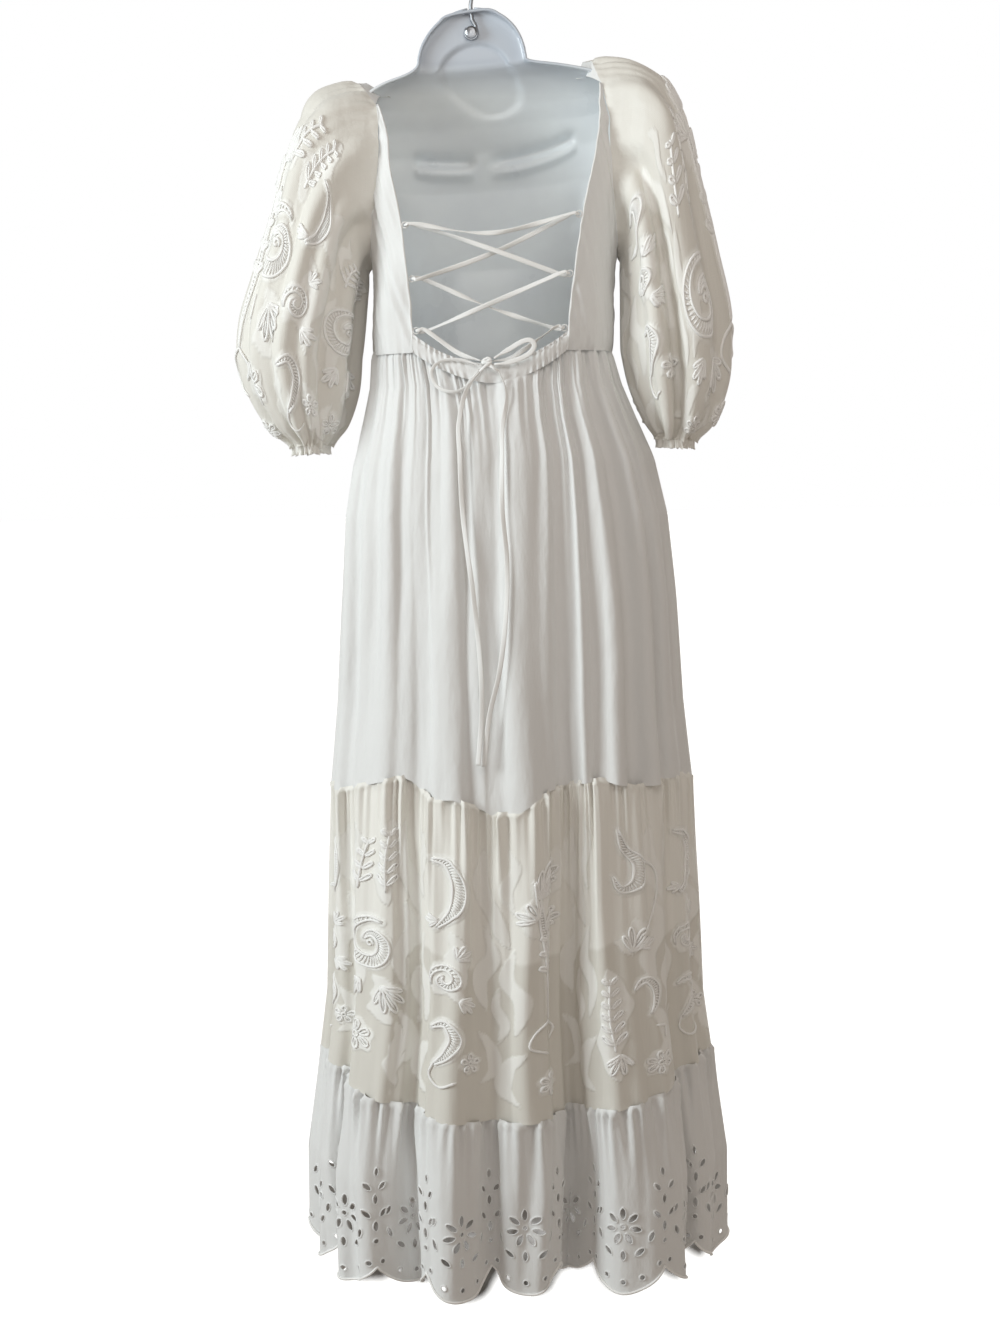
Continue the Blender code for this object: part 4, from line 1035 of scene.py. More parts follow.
def holeOutline(hole, grow=0.0):
    x, y, lean, long, wide = hole
    turn = np.linspace(0, 2 * math.pi, eyeletSizes["holePoints"], endpoint=False)
    pointed = 1.25 if long > wide * 1.2 else 1.0
    across = (wide / 2 + grow) * np.sin(turn) * np.abs(np.sin(turn)) ** (pointed - 1)
    along = (long / 2 + grow) * np.cos(turn)
    lean = math.radians(lean)
    return np.column_stack([x - across * math.cos(lean) + along * math.sin(lean),
                            y + across * math.sin(lean) + along * math.cos(lean)])


def insideOutline(points, outline):
    inside = np.ones(len(points), dtype=bool)
    for start, end in zip(outline, np.roll(outline, -1, axis=0)):
        step, away = end - start, points - start
        cross = step[0] * away[:, 1] - step[1] * away[:, 0]
        inside &= cross > 0
    return inside


def inAnyHole(points, holes, grow):
    found = np.zeros(len(points), dtype=bool)
    for hole in holes:
        near = np.hypot(points[:, 0] - hole[0], points[:, 1] - hole[1]) < hole[3] / 2 + grow + 0.001
        places = np.flatnonzero(near)
        if len(places):
            outline = holeOutline(hole, grow)
            if signedArea(outline) < 0:
                outline = outline[::-1]
            found[places] |= insideOutline(points[places], outline)
    return found


def signedArea(outline):
    x, y = outline[:, 0], outline[:, 1]
    return 0.5 * float(np.sum(x * np.roll(y, -1) - np.roll(x, -1) * y))


def cutEyeletCloth(half):
    length = halfLengths[half][0][-1]
    holes = eyeletHoles(length)
    span = int(length / eyeletSizes["columnStep"])
    across = np.linspace(0, length, span + 1)
    dense = np.linspace(0, length, span * 2 + 1)
    lowEdge = hemCurve(dense / length)
    theta = angleAt(half, across / length)
    highEdge = (seamTwoLine(theta) - tipLine(theta)) * (1 - tierTuck)
    border = np.vstack([np.column_stack([dense, lowEdge]), np.column_stack([across, highEdge])[::-1]])
    points = [border]
    edges = [(place, (place + 1) % len(border)) for place in range(len(border))]
    start = len(border)
    for hole in holes:
        outline = holeOutline(hole)
        points.append(outline)
        edges += [(start + place, start + (place + 1) % len(outline)) for place in range(len(outline))]
        start += len(outline)
    rows = np.arange(0.006, float(highEdge.max()), eyeletSizes["rowStep"])
    a, b = np.meshgrid(across[1:-1], rows)
    a, b = a + (np.arange(len(rows)) % 2)[:, None] * eyeletSizes["columnStep"] / 2, b
    inner = np.column_stack([a.ravel(), b.ravel()])
    clear = eyeletSizes["clearance"]
    keep = (inner[:, 1] > np.interp(inner[:, 0], dense, lowEdge) + clear * 1.6)
    keep &= inner[:, 1] < np.interp(inner[:, 0], across, highEdge) - clear
    keep &= inner[:, 0] < length - clear
    inner = inner[keep]
    inner = inner[~inAnyHole(inner, holes, clear)]
    points = np.vstack(points + [inner])
    made = geometry.delaunay_2d_cdt([Vector(point) for point in points.tolist()], edges, [], 0, 1e-7)
    flat = np.array([tuple(point) for point in made[0]])
    faces = np.array([face for face in made[2] if len(face) == 3])
    corners = flat[faces]
    area = ((corners[:, 1, 0] - corners[:, 0, 0]) * (corners[:, 2, 1] - corners[:, 0, 1])
            - (corners[:, 1, 1] - corners[:, 0, 1]) * (corners[:, 2, 0] - corners[:, 0, 0]))
    faces[area < 0] = faces[area < 0][:, ::-1]
    middle = corners.mean(axis=1)
    keep = np.abs(area) > 1e-12
    keep &= middle[:, 1] > np.interp(middle[:, 0], dense, lowEdge)
    keep &= middle[:, 1] < np.interp(middle[:, 0], across, highEdge)
    keep &= ~inAnyHole(middle, holes, 0.0)
    faces = faces[keep]
    return flat, faces, holes, np.column_stack([dense, lowEdge]), length


def sewLowerTier(half):
    flat, faces, holes, hemLine, length = cutEyeletCloth(half)

    def onHem(places, lift):
        share = np.clip(places[:, 0] / length, 0, 1)
        theta = angleAt(half, share)
        drop = 1 - places[:, 1] / (seamTwoLine(theta) - tipLine(theta))
        return clothPoint("lower", half, share, drop, lift)

    used = np.unique(faces)
    place = np.zeros(len(flat), dtype=int)
    place[used] = np.arange(len(used))
    node = f"skirt_lower_{half}"
    piece = meshPiece(f"lowerTier{half.capitalize()}", onHem(flat[used], 0.0), place[faces].tolist(), cotton,
                      flat[used])
    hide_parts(node)

    points, rimFaces = [], []
    start = 0
    count = eyeletSizes["holePoints"]
    for hole in holes:
        order = slice(None, None, -1 if signedArea(holeOutline(hole)) < 0 else 1)
        for grow, lift in eyeletSizes["rim"]:
            points.append(np.column_stack([holeOutline(hole, grow)[order], np.full(count, lift)]))
        for ring in range(len(eyeletSizes["rim"]) - 1):
            for number in range(count):
                following = (number + 1) % count
                rimFaces.append((start + ring * count + number, start + (ring + 1) * count + number,
                                 start + (ring + 1) * count + following, start + ring * count + following))
        start += len(eyeletSizes["rim"]) * count
    points = np.concatenate(points)
    rims = meshPiece(f"eyeletRims{half.capitalize()}", onHem(points[:, :2], points[:, 2]), rimFaces,
                     cottonThread)
    hem = layStitches(f"hemStitching{half.capitalize()}", [("cord", hemLine)], onHem)


cottonThread = threadFinish("cottonThread", finishes["cotton"]["colour"])
for half in halves:
    sewLowerTier(half)
print("eyelet tier cut and stitched")


# bodice, casing and bindings
bodiceSizes = {
    "armhole": (-0.232, 0.1045, 0.055, 0.012),      # middle height, half-height, half-depth, y
    "top": -0.158, "neckHeight": -0.205, "neckHalf": 0.092, "seamGap": 0.0003, "binding": 0.0017,
    "casingGather": 0.0013, "casingWave": 0.0075, "radius": 0.15, "casingRadius": 0.13,
    # rows and columns of the cloth
    "backGrid": (90, 34), "frontGrid": (70, 120), "shoulderGrid": (16, 18), "casingGrid": (22, 240),
    "neckPoints": 60,
}


def armholeAngle(z, side):
    middle, halfHeight, halfDepth, centreY = bodiceSizes["armhole"]
    reach = np.clip((np.asarray(z) - middle) / halfHeight, -1, 1)
    edgeY = centreY + side * halfDepth * np.sqrt(1 - reach ** 2)
    back, front = bodyValue(z, 2), bodyValue(z, 3)
    share = (edgeY - (back + front) / 2) / ((front - back) / 2)
    angle = np.arccos(-np.sign(share) * np.minimum(np.abs(share), 1) ** (bodyValue(z, 4) / 2))
    return np.minimum(angle, halfPi - 0.001) if side < 0 else np.maximum(angle, halfPi + 0.001)


def bodicePoint(theta, z, lift=0.0):
    theta, z = np.asarray(theta, dtype=float), np.asarray(z, dtype=float)
    surface = bodyOutline(theta, z)
    run = theta * bodiceSizes["radius"]
    above = z - clothShape["waist"]
    gathers = 0.0013 * np.exp(-above / 0.022) * ripple(run, 0.012, 31)
    pull = 0.0016 * np.sin((z * 46 + np.abs(np.sin(theta)) * 9)) * np.clip(above / 0.05, 0, 1)
    puckers = 0.0007 * ripple(run + z * 0.6, 0.024, 33)
    seam = 0.0011 * np.exp(-above / 0.006)                      # drawn in where the skirt is sewn on
    out = gathers + pull + puckers - seam + lift
    return settle(surface + levelNormal(bodyOutline, theta, z) * out[..., None])


def openingAngle(z):
    return angleAtX(np.interp(z, clothShape["opening"][:, 0], clothShape["opening"][:, 1]), z)


def sewBodiceBack(side, word):
    rows, columns = bodiceSizes["backGrid"]
    z = np.linspace(clothShape["waist"] + bodiceSizes["seamGap"], bodiceSizes["top"], rows)
    near, far = openingAngle(z), armholeAngle(z, -1)
    share = np.linspace(0, 1, columns)
    theta = near[:, None] * (1 - share) + far[:, None] * share
    if side < 0:
        theta = -theta[:, ::-1]
    heights = z[:, None] + 0 * theta
    points = bodicePoint(theta, heights)
    uv = np.stack([theta * bodiceSizes["radius"], heights], axis=-1).reshape(-1, 2)
    node = f"bodice_back_{word}"
    piece = meshPiece(f"bodiceBack{word.capitalize()}", points.reshape(-1, 3), gridFaces(*theta.shape),
                      cotton, uv)
    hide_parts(node)
    line = np.column_stack([side * near, z])
    edge = layBinding(f"openingBinding{word.capitalize()}", line)
    hole = np.column_stack([side * (far - 0.004), z])
    seam = layBinding(f"armholeSeam{word.capitalize()}", hole, 0.0009)


def layBinding(name, line, radius=None):
    # a narrow folded strip over a raw edge, as a flattened round
    radius = radius or bodiceSizes["binding"]
    sides = 8
    rings = []
    for number in range(sides):
        angle = 2 * math.pi * number / sides
        theta = line[:, 0] + math.cos(angle) * radius * 1.15 / bodiceSizes["casingRadius"]
        rings.append(bodicePoint(theta, line[:, 1], radius * (0.15 + 0.8 * math.sin(angle)) + 0 * theta))
    points = np.stack(rings, axis=1).reshape(-1, 3)
    return meshPiece(name, points, tubeFaces(len(line), sides), cottonThread)


def sewBodiceFront():
    bottom = clothShape["waist"] + bodiceSizes["seamGap"]
    neck, top = bodiceSizes["neckHeight"], bodiceSizes["top"]
    points, faces, uv = [], [], []

    def addPanel(z, startAngle, endAngle, columns):
        share = np.linspace(0, 1, columns)
        theta = startAngle[:, None] * (1 - share) + endAngle[:, None] * share
        heights = z[:, None] + 0 * theta
        start = sum(len(part) for part in points)
        points.append(bodicePoint(theta, heights).reshape(-1, 3))
        uv.append(np.stack([theta * bodiceSizes["radius"], heights], axis=-1).reshape(-1, 2))
        faces.extend(tuple(start + corner for corner in face) for face in gridFaces(*theta.shape))

    rows, columns = bodiceSizes["frontGrid"]
    z = np.linspace(bottom, neck, rows)
    addPanel(z, armholeAngle(z, 1), 2 * math.pi - armholeAngle(z, 1), columns)
    rows, columns = bodiceSizes["shoulderGrid"]
    z = np.linspace(neck, top, rows)
    strapEdge = math.pi - angleAtX(bodiceSizes["neckHalf"], z)
    addPanel(z, armholeAngle(z, 1), strapEdge, columns)
    addPanel(z, 2 * math.pi - strapEdge, 2 * math.pi - armholeAngle(z, 1), columns)
    piece = meshPiece("bodiceFront", np.concatenate(points), faces, cotton,
                      np.concatenate(uv))
    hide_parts("bodice_front")
    corner = float(math.pi - angleAtX(bodiceSizes["neckHalf"], neck))
    across = np.linspace(corner, 2 * math.pi - corner, bodiceSizes["neckPoints"])
    theta = np.concatenate([strapEdge[::-1], across, 2 * math.pi - strapEdge])
    heights = np.concatenate([z[::-1], 0 * across + neck, z])
    edge = layBinding("neckBinding", np.column_stack([theta, heights]))


def sewCasing():
    edge = float(angleAtX(clothShape["opening"][0, 1] - bodiceSizes["seamGap"], clothShape["waist"]))
    rows, columns = bodiceSizes["casingGrid"]
    theta = np.linspace(-edge, edge, columns)
    low = waistLine(theta) + 2 * bodiceSizes["seamGap"]
    share = np.linspace(0, 1, rows)[:, None]
    z = low[None, :] + share * clothShape["casing"]
    theta = theta[None, :] + 0 * z
    run = theta * bodiceSizes["casingRadius"]
    edges = 0.55 + 0.45 * np.cos(share * 2 * math.pi)           # the gathers are deepest at both edges
    gather = bodiceSizes["casingGather"] * ripple(run, bodiceSizes["casingWave"], 41) * edges
    puff = 0.0016 * np.sin(math.pi * share) - 0.0012 * np.exp(-((share - 0.86) / 0.05) ** 2)
    surface = bodyOutline(theta, z) + levelNormal(bodyOutline, theta, z) * (gather + puff)[..., None]
    uv = np.stack([run, z], axis=-1).reshape(-1, 2)
    piece = meshPiece("waistCasing", settle(surface).reshape(-1, 3), gridFaces(*z.shape), cotton,
                      uv)
    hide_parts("waist_casing")


for side, word in ((-1, "left"), (1, "right")):
    sewBodiceBack(side, word)
sewBodiceFront()
sewCasing()
print("bodice and casing sewn")


# sleeves: gathered sheer puffs with the same embroidery
sleeveShape = {
    "columns": 240, "rows": 150, "roundLength": 0.50, "length": 0.42, "steps": 24,
    "cuffHeight": 0.009, "cuffRows": 9, "cuffPatch": 0.8, "lined": 0.45,
    "strapSteps": 3, "shoulderEase": 0.008, "seamGap": 0.00045,
    "strapWidth": 0.017, "strapDrop": 0.017, "strapGrid": (9, 41),
    "headGather": 0.0015, "footGather": 0.0034, "pleat": 0.0040,
    # outer x and z, inner x and z, half-depth and y of the middle, from the head down
    "sections": ((0.1500, -0.1265, 0.1425, -0.3420, 0.066, 0.012),
                 (0.1790, -0.1350, 0.1435, -0.3480, 0.076, 0.010),
                 (0.2040, -0.1600, 0.1440, -0.3580, 0.082, 0.008),
                 (0.2240, -0.2050, 0.1450, -0.3700, 0.085, 0.006),
                 (0.2400, -0.2680, 0.1460, -0.3880, 0.086, 0.004),
                 (0.2580, -0.3350, 0.1470, -0.4120, 0.086, 0.002),
                 (0.2750, -0.4020, 0.1490, -0.4410, 0.084, 0.000),
                 (0.2740, -0.4620, 0.1550, -0.4790, 0.077, 0.000),
                 (0.2530, -0.5140, 0.1680, -0.5140, 0.062, 0.000),
                 (0.2320, -0.5340, 0.1810, -0.5310, 0.047, 0.000),
                 (0.2270, -0.5390, 0.1850, -0.5370, 0.043, 0.000)),
    "lean": {"left": 0.012, "right": -0.012},
    # angle round the sleeve, width, depth, first and last section
    "folds": {"right": ((98.0, 9.0, 0.020, 0.0, 8.5), (52.0, 11.0, 0.006, 3.0, 10.0),
                        (140.0, 12.0, 0.006, 4.0, 10.0), (250.0, 14.0, 0.010, 0.0, 8.0),
                        (310.0, 12.0, 0.006, 3.0, 10.0)),
              "left": ((122.0, 9.0, 0.013, 0.0, 8.0), (74.0, 9.0, 0.011, 1.0, 10.0),
                       (38.0, 9.0, 0.008, 3.0, 10.0), (262.0, 14.0, 0.009, 0.0, 8.0),
                       (318.0, 12.0, 0.006, 3.0, 10.0))},
}


def sleeveRing(side, section, row, turn):
    outX, outZ, inX, inZ, halfDepth, middleY = section
    outX = outX + sleeveShape["lean"][side] * min(1.0, row / 3)
    inX = inX + sleeveShape["lean"][side] * min(1.0, row / 10) ** 2
    reach = math.hypot(outX - inX, outZ - inZ) / 2
    fold = 0 * turn
    for angle, width, depth, first, last in sleeveShape["folds"][side]:
        fade = np.clip((row - first + 1) / 2, 0, 1) * np.clip((last + 1 - row) / 2, 0, 1)
        away = (np.degrees(turn) - angle + 180) % 360 - 180
        fold = fold + depth * fade * np.exp(-(away / width) ** 2)
    along = (reach - fold) * np.cos(turn)
    x = (outX + inX) / 2 + (outX - inX) / (2 * reach) * along
    z = (outZ + inZ) / 2 + (outZ - inZ) / (2 * reach) * along
    return np.column_stack([x, middleY - (halfDepth - fold) * np.sin(turn), z])


def armholeRing(turn):
    middle, halfHeight, halfDepth, centreY = bodiceSizes["armhole"]
    oneStep = 2 * math.pi / sleeveShape["steps"]
    fromTop = np.minimum(turn, 2 * math.pi - turn) / oneStep
    strap = sleeveShape["strapSteps"]
    edgeZ = middle + halfHeight * np.cos(np.maximum(fromTop, strap) * oneStep)
    theta = np.where(turn < math.pi, armholeAngle(edgeZ, -1), armholeAngle(edgeZ, 1))
    x = bodyOutline(theta, edgeZ)[:, 0] + sleeveShape["seamGap"]
    x = x + sleeveShape["shoulderEase"] * np.clip(strap - fromTop, 0, None) / strap
    return np.column_stack([x, centreY - halfDepth * np.sin(turn), middle + halfHeight * np.cos(turn)])


def sleeveCloth(side):
    # the sleeve as a grid: rows from the armhole down to the cuff, columns round it
    look = sleeveShape
    turn = np.linspace(0, 2 * math.pi, look["columns"], endpoint=False)
    rings = [armholeRing(turn)]
    rings += [sleeveRing(side, section, row, turn) for row, section in enumerate(look["sections"])]
    rings = np.array(rings)
    padded = np.concatenate([2 * rings[:1] - rings[1:2], rings, 2 * rings[-1:] - rings[-2:-1]])
    rows = []
    for mark in np.linspace(0, len(rings) - 1, look["rows"]):
        index = min(int(mark), len(rings) - 2)
        t = mark - index
        before, start, end, after = padded[index:index + 4]
        rows.append(throughPoints(before, start, end, after, t))
    grid = np.array(rows)
    around = np.roll(grid, -1, axis=1) - np.roll(grid, 1, axis=1)
    down = np.gradient(grid, axis=0)
    normal = np.cross(around, down)
    normal /= np.linalg.norm(normal, axis=2, keepdims=True) + 1e-12
    seed = 51 if side == "left" else 61
    along = np.linspace(0, 1, look["rows"])[:, None] * look["length"]
    run = turn[None, :] / (2 * math.pi)

    def roundWave(count, extra):
        # a wave that closes on itself round the sleeve
        picks = np.random.default_rng(seed + extra)
        total = 0 * run
        for _ in range(5):
            times = round(count * picks.uniform(0.65, 1.4))
            phase = picks.random() + 0.8 * along * picks.uniform(-1, 1)
            total = total + np.sin(2 * math.pi * (times * run + phase))
        return total / math.sqrt(5)

    onTop = 0.10 + 0.90 * np.clip(np.cos(turn), 0, 1)[None, :]      # the head is gathered over the shoulder
    head = look["headGather"] * np.exp(-along / 0.050) * roundWave(34, 0)
    head = (head + look["headGather"] * np.exp(-along / 0.09) * roundWave(15, 1)) * onTop
    up = look["length"] - along
    foot = np.exp(-up / 0.035) * roundWave(30, 2) * 0.7 + np.exp(-up / 0.10) * roundWave(14, 3)
    foot = look["footGather"] * foot
    pleat = look["pleat"] * roundWave(9, 4) * np.sin(math.pi * along / look["length"]) ** 0.5
    start = np.clip(along / 0.010, 0, 1) * np.clip(up / 0.004 + 0.4, 0, 1)
    grid = grid + normal * ((head + foot + pleat) * start)[..., None]
    if side == "left":
        grid = grid * np.array((-1, 1, 1))
        normal = normal * np.array((-1, 1, 1))
    return settle(grid), normal


def readGrid(grid, row, column):
    # smooth reading between the rows and columns of a closed grid
    rows, columns = grid.shape[:2]
    row = np.clip(row, 0, rows - 1.001)
    r, c = np.floor(row).astype(int), np.floor(column).astype(int)
    fr, fc = (row - r)[:, None], (column - c)[:, None]
    c, after = c % columns, (c + 1) % columns
    return ((grid[r, c] * (1 - fc) + grid[r, after] * fc) * (1 - fr)
            + (grid[r + 1, c] * (1 - fc) + grid[r + 1, after] * fc) * fr)


# motif, angle round the sleeve, lift of its foot above the cuff
sleeveDesign = {
    "right": ((scrollColumn, 58, 0.000), (groundLeaves, 88, 0.030), (crescentColumn, 122, 0.060),
              (branchColumn, 24, 0.040), (groundLeaves, 155, 0.020), (crescentColumn, 210, 0.030),
              (scrollColumn, 260, 0.020), (groundLeaves, 300, 0.040), (crescentColumn, 335, 0.020)),
    "left": ((crescentColumn, 92, 0.030), (scrollColumn, 55, 0.050), (groundLeaves, 118, 0.020),
             (branchColumn, 22, 0.030), (scrollColumn, 148, 0.010), (groundLeaves, 200, 0.040),
             (crescentColumn, 240, 0.020), (scrollColumn, 285, 0.040), (groundLeaves, 325, 0.030)),
}


def sewStrap(side):
    # the narrow band over the shoulder between the back strap and the front one
    reach = sleeveShape["strapSteps"] * 2 * math.pi / sleeveShape["steps"]
    rows, columns = sleeveShape["strapGrid"]
    turn = np.linspace(-reach, reach, columns)
    outer = armholeRing(turn % (2 * math.pi))
    wide = np.cos(turn * halfPi / reach)[:, None]
    inner = outer - np.array((sleeveShape["strapWidth"], 0, sleeveShape["strapDrop"])) * wide
    share = np.linspace(0, 1, rows)[:, None, None]
    grid = outer * (1 - share) + inner * share
    uv = grid[..., :2].reshape(-1, 2)
    faces = gridFaces(rows, columns)
    if side == "left":
        grid = grid * np.array((-1, 1, 1))
    else:
        faces = turnOver(faces)
    return meshPiece(f"{side}ShoulderStrap", settle(grid).reshape(-1, 3), faces, cotton, uv)


def sewSleeve(side):
    look = sleeveShape
    grid, normal = sleeveCloth(side)
    rows, columns = grid.shape[:2]
    row, column = np.meshgrid(np.arange(rows), np.arange(columns), indexing="ij")
    a = column.ravel() / columns * look["roundLength"]
    b = (1 - row.ravel() / (rows - 1)) * look["length"]
    mask = np.zeros(rows * columns)
    strokes = []
    hand = 1 if side == "right" else -1
    for motif, degrees, foot in sleeveDesign[side]:
        centre = degrees / 360 * look["roundLength"]
        newStrokes, patches = motif()
        away = (a - centre + look["roundLength"] / 2) % look["roundLength"] - look["roundLength"] / 2
        near = np.abs(away) < stitch["patchReach"]
        mask[near] = np.maximum(mask[near], patchShare(-hand * away[near], b[near] - foot, patches))
        for kind, line in newStrokes:
            strokes.append((kind, np.column_stack([centre - hand * line[:, 0], line[:, 1] + foot])))

    def onSleeve(flat, lift):
        place = flat[:, 0] / look["roundLength"] * columns, (1 - flat[:, 1] / look["length"]) * (rows - 1)
        return readGrid(grid, place[1], place[0]) + readGrid(normal, place[1], place[0]) * lift[:, None]

    faces = gridFaces(rows, columns, closed=True)
    if side == "left":
        faces = turnOver(faces)
    uv = np.column_stack([a, b])
    piece = meshPiece(f"{side}Sleeve", grid.reshape(-1, 3), faces, organza, uv)
    addFloatAttribute(piece, "patch", mask)
    addFloatAttribute(piece, "lined", 0 * mask + look["lined"])
    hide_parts(f"sleeve_{side}")
    cords = layStitches(f"{side}SleeveEmbroidery", strokes, onSleeve)
    sewStrap(side)

    # the cuff: the foot ring carried down as a gathered band
    foot = grid[-1]
    middle = foot.mean(axis=0)
    wave = ripple(np.linspace(0, 0.3, columns), 0.013, 71)
    bands = []
    for share in np.linspace(0, 1, look["cuffRows"]):
        frill = 1 + 0.05 * share * wave[:, None] - 0.02 * math.sin(math.pi * share)
        ring = middle + (foot - middle) * frill
        ring[:, 2] = foot[:, 2] - 0.0003 - share * look["cuffHeight"]
        bands.append(ring)
    cuffFaces = gridFaces(look["cuffRows"], columns, closed=True)
    if side == "left":
        cuffFaces = turnOver(cuffFaces)
    heights = np.repeat(np.linspace(0, look["cuffHeight"], look["cuffRows"]), columns)
    cuffUv = np.column_stack([np.tile(a[:columns], look["cuffRows"]), heights])
    cuff = meshPiece(f"{side}Cuff", np.array(bands).reshape(-1, 3), cuffFaces, organza,
                     cuffUv)
    addFloatAttribute(cuff, "patch", 0 * heights + look["cuffPatch"])
    addFloatAttribute(cuff, "lined", 0 * heights + look["lined"])
    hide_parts(f"cuff_{side}")


for side in ("left", "right"):
    sewSleeve(side)
print("sleeves sewn")


# the hanging form: a hollow moulding with a rolled rim, a recess and two ribs
formShape = {
    "columns": 120, "rows": 190, "wall": 0.0022, "squareness": 2.5, "rim": 0.0017,
    "tabCentre": -0.1215, "tabRadius": 0.0595, "rivetHeight": -0.087, "rivetHole": 0.0031,
    "rimPoints": 260, "tabRises": (0.12, 0.26, 0.42, 0.58, 0.72, 0.84, 0.92, 0.975, 0.998),
    # height, half-width, rim y, front y
    "sections": ((-0.7000, 0.1440, -0.0120, 0.1040), (-0.6400, 0.1440, -0.0120, 0.1050),
                 (-0.5700, 0.1380, -0.0120, 0.1020), (-0.5000, 0.1260, -0.0120, 0.0950),
                 (-0.4400, 0.1180, -0.0120, 0.0910), (-0.3850, 0.1210, -0.0120, 0.0980),
                 (-0.3360, 0.1240, -0.0120, 0.1030), (-0.2900, 0.1400, -0.0120, 0.1020),
                 (-0.2450, 0.1590, -0.0120, 0.0930), (-0.2050, 0.1690, -0.0120, 0.0760),
                 (-0.1780, 0.1660, -0.0120, 0.0580), (-0.1580, 0.1520, -0.0110, 0.0420),
                 (-0.1450, 0.1310, -0.0100, 0.0300), (-0.1350, 0.1080, -0.0080, 0.0200),
                 (-0.1285, 0.0810, -0.0060, 0.0115), (-0.1230, 0.0610, -0.0040, 0.0065)),
    # recess: middle x and z, half-width, half-height, depth
    "recess": (0.002, -0.134, 0.0405, 0.0360, 0.0036),
    # ribs: from x, to x, height, rise at the outer end, depth
    "ribs": ((-0.098, -0.029, -0.2130, 0.007, 0.0080), (-0.004, 0.090, -0.2140, 0.018, 0.0080)),
    "ribEnd": 0.006, "ribHalf": 0.0055,
    # the hollow under each rib: share of its depth, drop, half-height
    "hollow": (0.55, 0.013, 0.006),
}


def formSections():
    rows = list(formShape["sections"])
    for rise in formShape["tabRises"]:
        z = formShape["tabCentre"] + formShape["tabRadius"] * rise
        rows.append((z, formShape["tabRadius"] * math.sqrt(1 - rise ** 2), -0.0040, 0.0055))
    return np.array(rows)


def formPoint(turn, z, rows):
    halfWidth, rim, front = (np.interp(z, rows[:, 0], rows[:, column]) for column in (1, 2, 3))
    power = 2.0 / formShape["squareness"]
    x = -halfWidth * np.sign(np.cos(turn)) * np.abs(np.cos(turn)) ** power
    y = rim + (front - rim) * np.abs(np.sin(turn)) ** power
    middleX, middleZ, wide, high, depth = formShape["recess"]
    away = np.sqrt(((x - middleX) / wide) ** 2 + ((z - middleZ) / high) ** 2)
    y = y + depth * np.clip((1.0 - away) / 0.10 + 0.5, 0, 1)
    end = formShape["ribEnd"]
    part, drop, half = formShape["hollow"]
    for fromX, toX, height, rise, deep in formShape["ribs"]:
        share = np.clip((x - fromX) / (toX - fromX), 0, 1)
        outer = share if toX > abs(fromX) else 1 - share
        inside = np.clip((x - fromX) / end, 0, 1) * np.clip((toX - x) / end, 0, 1)
        off = z - (height + rise * outer ** 2)
        groove = np.exp(-(off / formShape["ribHalf"]) ** 2) - part * np.exp(-((off + drop) / half) ** 2)
        y = y + deep * inside * groove
    return settle(np.stack([x, y, z], axis=-1))


def pickOnly(piece):
    bpy.ops.object.select_all(action="DESELECT")
    piece.select_set(True)
    bpy.context.view_layer.objects.active = piece


def mouldForm():
    rows = formSections()
    columns, count = formShape["columns"], formShape["rows"]
    bpy.ops.object.select_all(action="DESELECT")
    bpy.ops.mesh.primitive_grid_add(x_subdivisions=columns, y_subdivisions=count, size=2, location=(0, 0, 0))
    form = bpy.context.object
    form.name = "torsoForm"
    mesh = form.data
    flat = np.empty(len(mesh.vertices) * 3)
    mesh.vertices.foreach_get("co", flat)
    flat = flat.reshape(-1, 3)
    low, high = rows[0, 0], rows[-1, 0]
    z = low + (high - low) * (1 - (1 - (flat[:, 1] + 1) / 2) ** 1.25)
    turn = (flat[:, 0] + 1) / 2 * math.pi
    mesh.vertices.foreach_set("co", formPoint(turn, z, rows).ravel())
    mesh.update()
    thicken = form.modifiers.new("wall", "SOLIDIFY")
    thicken.thickness = formShape["wall"]
    thicken.offset = 0
    bpy.ops.object.modifier_apply(modifier="wall")
    bpy.ops.mesh.primitive_cylinder_add(vertices=32, radius=formShape["rivetHole"], depth=0.06,
                                        location=(0, 0, formShape["rivetHeight"]), rotation=(halfPi, 0, 0))
    drill = bpy.context.object
    pickOnly(form)
    cut = form.modifiers.new("rivetHole", "BOOLEAN")
    cut.operation = "DIFFERENCE"
    cut.object = drill
    bpy.ops.object.modifier_apply(modifier="rivetHole")
    bpy.data.objects.remove(drill, do_unlink=True)
    mesh.materials.clear()
    mesh.materials.append(plastic)
    mesh.shade_smooth()
    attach(form, "root")
    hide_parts("torso_form")
    rollRim(rows)


def rollRim(rows):
    # the moulding's edge is rolled: a smooth bead up one side, over the tab and down the other
    count = formShape["rimPoints"]
    z = np.linspace(rows[0, 0], rows[-1, 0], count)
    z = np.concatenate([z, rows[-1, 0] - (rows[-1, 0] - z[::-1])[1:]])
    turn = np.where(np.arange(len(z)) < count, math.pi, 0.0)
    path = formPoint(turn, z, rows)
    path = smoothPath(path[::3], 0.004)
    data = bpy.data.curves.new("rim", "CURVE")
    data.dimensions = "3D"
    data.bevel_depth = formShape["rim"]
    data.bevel_resolution = 3
    data.use_fill_caps = True
    line = data.splines.new("POLY")
    line.points.add(len(path) - 1)
    for knot, point in zip(line.points, path.tolist()):
        knot.co = (*point, 1.0)
    rim = bpy.data.objects.new("formRim", data)
    bpy.context.collection.objects.link(rim)
    pickOnly(rim)
    bpy.ops.object.convert(target="MESH")
    rim = bpy.context.object
    rim.data.shade_smooth()
    rim.data.materials.clear()
    rim.data.materials.append(plastic)
    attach(rim, "root")


mouldForm()
print("form moulded")


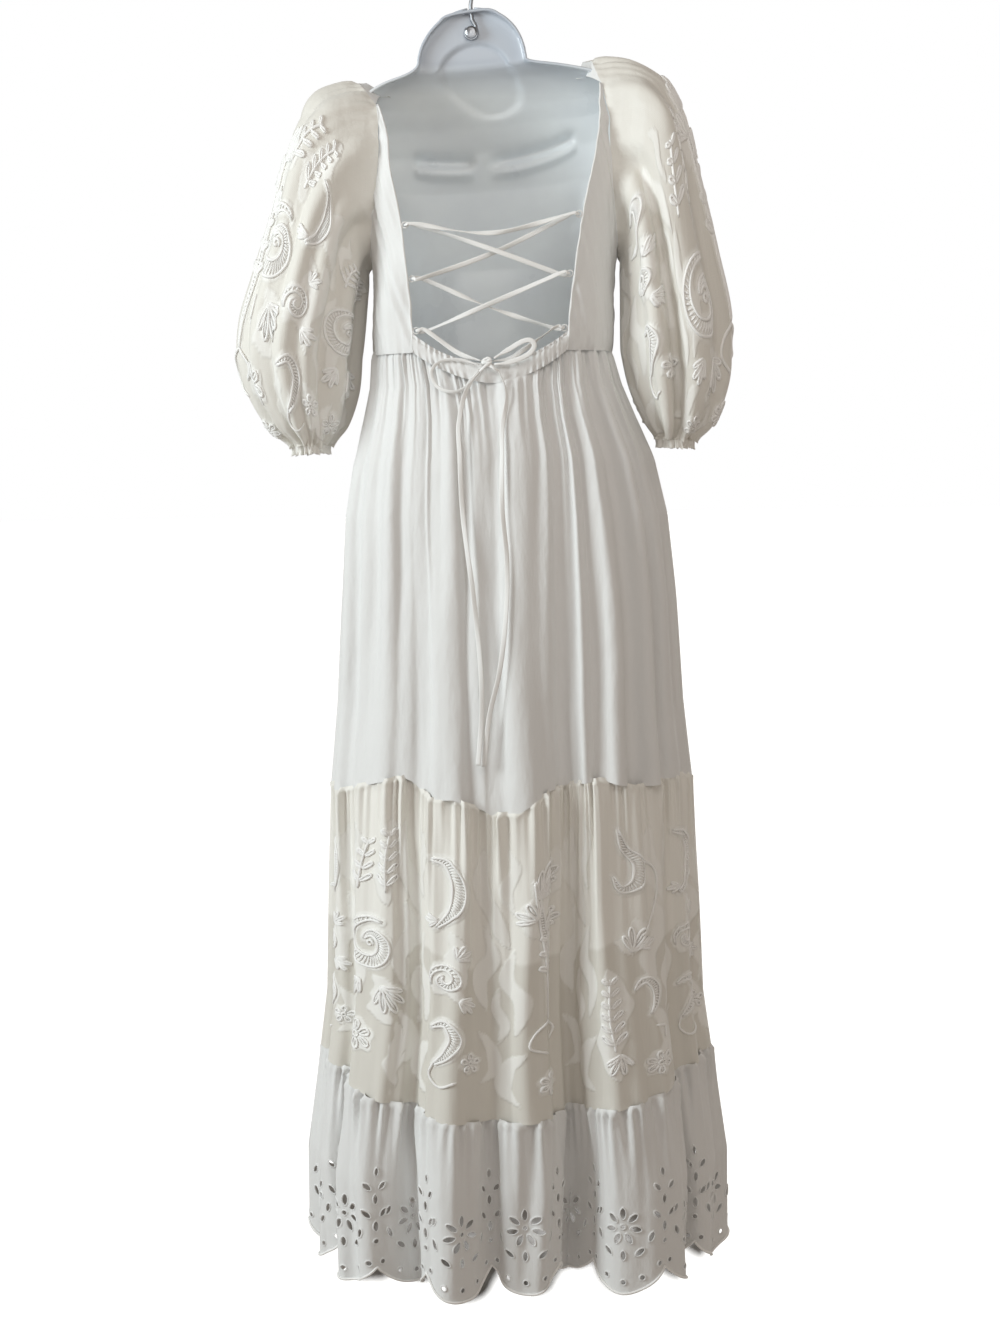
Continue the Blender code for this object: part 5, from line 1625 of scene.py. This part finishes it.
# light and floor
studio = {
    "sky": (1.0, 0.89, 0.79), "skyStrength": 0.30, "backdrop": 1.0,
    "floor": -1.56, "floorColour": (0.36, 0.36, 0.355), "floorSun": 24, "sunTilt": 66.5, "sunSize": 3,
    # name, place, aim, size, power, colour
    "lamps": (("keyLeft", (-2.40, -1.20, 0.15), (0, 0, -0.80), (0.9, 1.6), 60, (0.90, 0.98, 1.00)),
              ("frontHigh", (0.15, -1.10, 0.25), (0, 0, -0.25), (0.7, 0.7), 4, (1.00, 0.98, 0.95)),
              ("warmRight", (2.20, -1.60, -0.90), (0, 0, -1.00), (1.4, 1.4), 4, (1.00, 0.86, 0.70)),
              ("farSide", (1.10, 2.30, 0.30), (0, 0, -0.75), (1.8, 1.8), 22, (1.00, 0.97, 0.93))),
}


def addLamp(name, place, aim, size, power, colour, notOnFloor):
    data = bpy.data.lights.new(name, "AREA")
    data.shape = "RECTANGLE"
    data.size, data.size_y = size
    data.energy = power
    data.color = colour
    lamp = bpy.data.objects.new(name, data)
    lamp.location = place
    lamp.rotation_euler = (Vector(aim) - Vector(place)).to_track_quat("-Z", "Y").to_euler()
    bpy.context.collection.objects.link(lamp)
    lamp.light_linking.receiver_collection = notOnFloor


def lightStudio():
    world = bpy.data.worlds.new("studio")
    bpy.context.scene.world = world
    world.use_nodes = True
    tree = world.node_tree
    tree.nodes["Background"].inputs[0].default_value = (*studio["sky"], 1)
    tree.nodes["Background"].inputs[1].default_value = studio["skyStrength"]
    white = tree.nodes.new("ShaderNodeBackground")          # what is seen behind the dress
    white.inputs[0].default_value = (1, 1, 1, 1)
    white.inputs[1].default_value = studio["backdrop"]
    path = tree.nodes.new("ShaderNodeLightPath")
    mix = tree.nodes.new("ShaderNodeMixShader")
    tree.links.new(path.outputs["Is Camera Ray"], mix.inputs[0])
    tree.links.new(tree.nodes["Background"].outputs[0], mix.inputs[1])
    tree.links.new(white.outputs[0], mix.inputs[2])
    tree.links.new(mix.outputs[0], tree.nodes["World Output"].inputs[0])
    bpy.ops.object.select_all(action="DESELECT")
    bpy.ops.mesh.primitive_plane_add(size=60, location=(0, 0, studio["floor"]))
    floor = bpy.context.object
    floor.name = "paleFloor"
    floor.data.materials.append(newFinish("floorPaint", studio["floorColour"], 0.9))
    floor.visible_diffuse = False       # it stays a pale backdrop and throws no light up at the cloth
    lit = bpy.data.collections.new("floorLight")
    lit.objects.link(floor)
    unlit = bpy.data.collections.new("clothLight")      # the lamps light the dress and leave the floor out
    unlit.objects.link(floor)
    unlit.collection_objects[0].light_linking.link_state = "EXCLUDE"
    for name, place, aim, size, power, colour in studio["lamps"]:
        addLamp(name, place, aim, size, power, colour, unlit)
    data = bpy.data.lights.new("floorSun", "SUN")
    data.energy = studio["floorSun"]
    data.angle = math.radians(studio["sunSize"])
    sun = bpy.data.objects.new("floorSun", data)
    sun.rotation_euler = (math.radians(studio["sunTilt"]), 0, 0)
    bpy.context.collection.objects.link(sun)
    sun.light_linking.receiver_collection = lit
    bpy.context.scene.view_settings.view_transform = "Standard"


lightStudio()
print("lights and floor set")
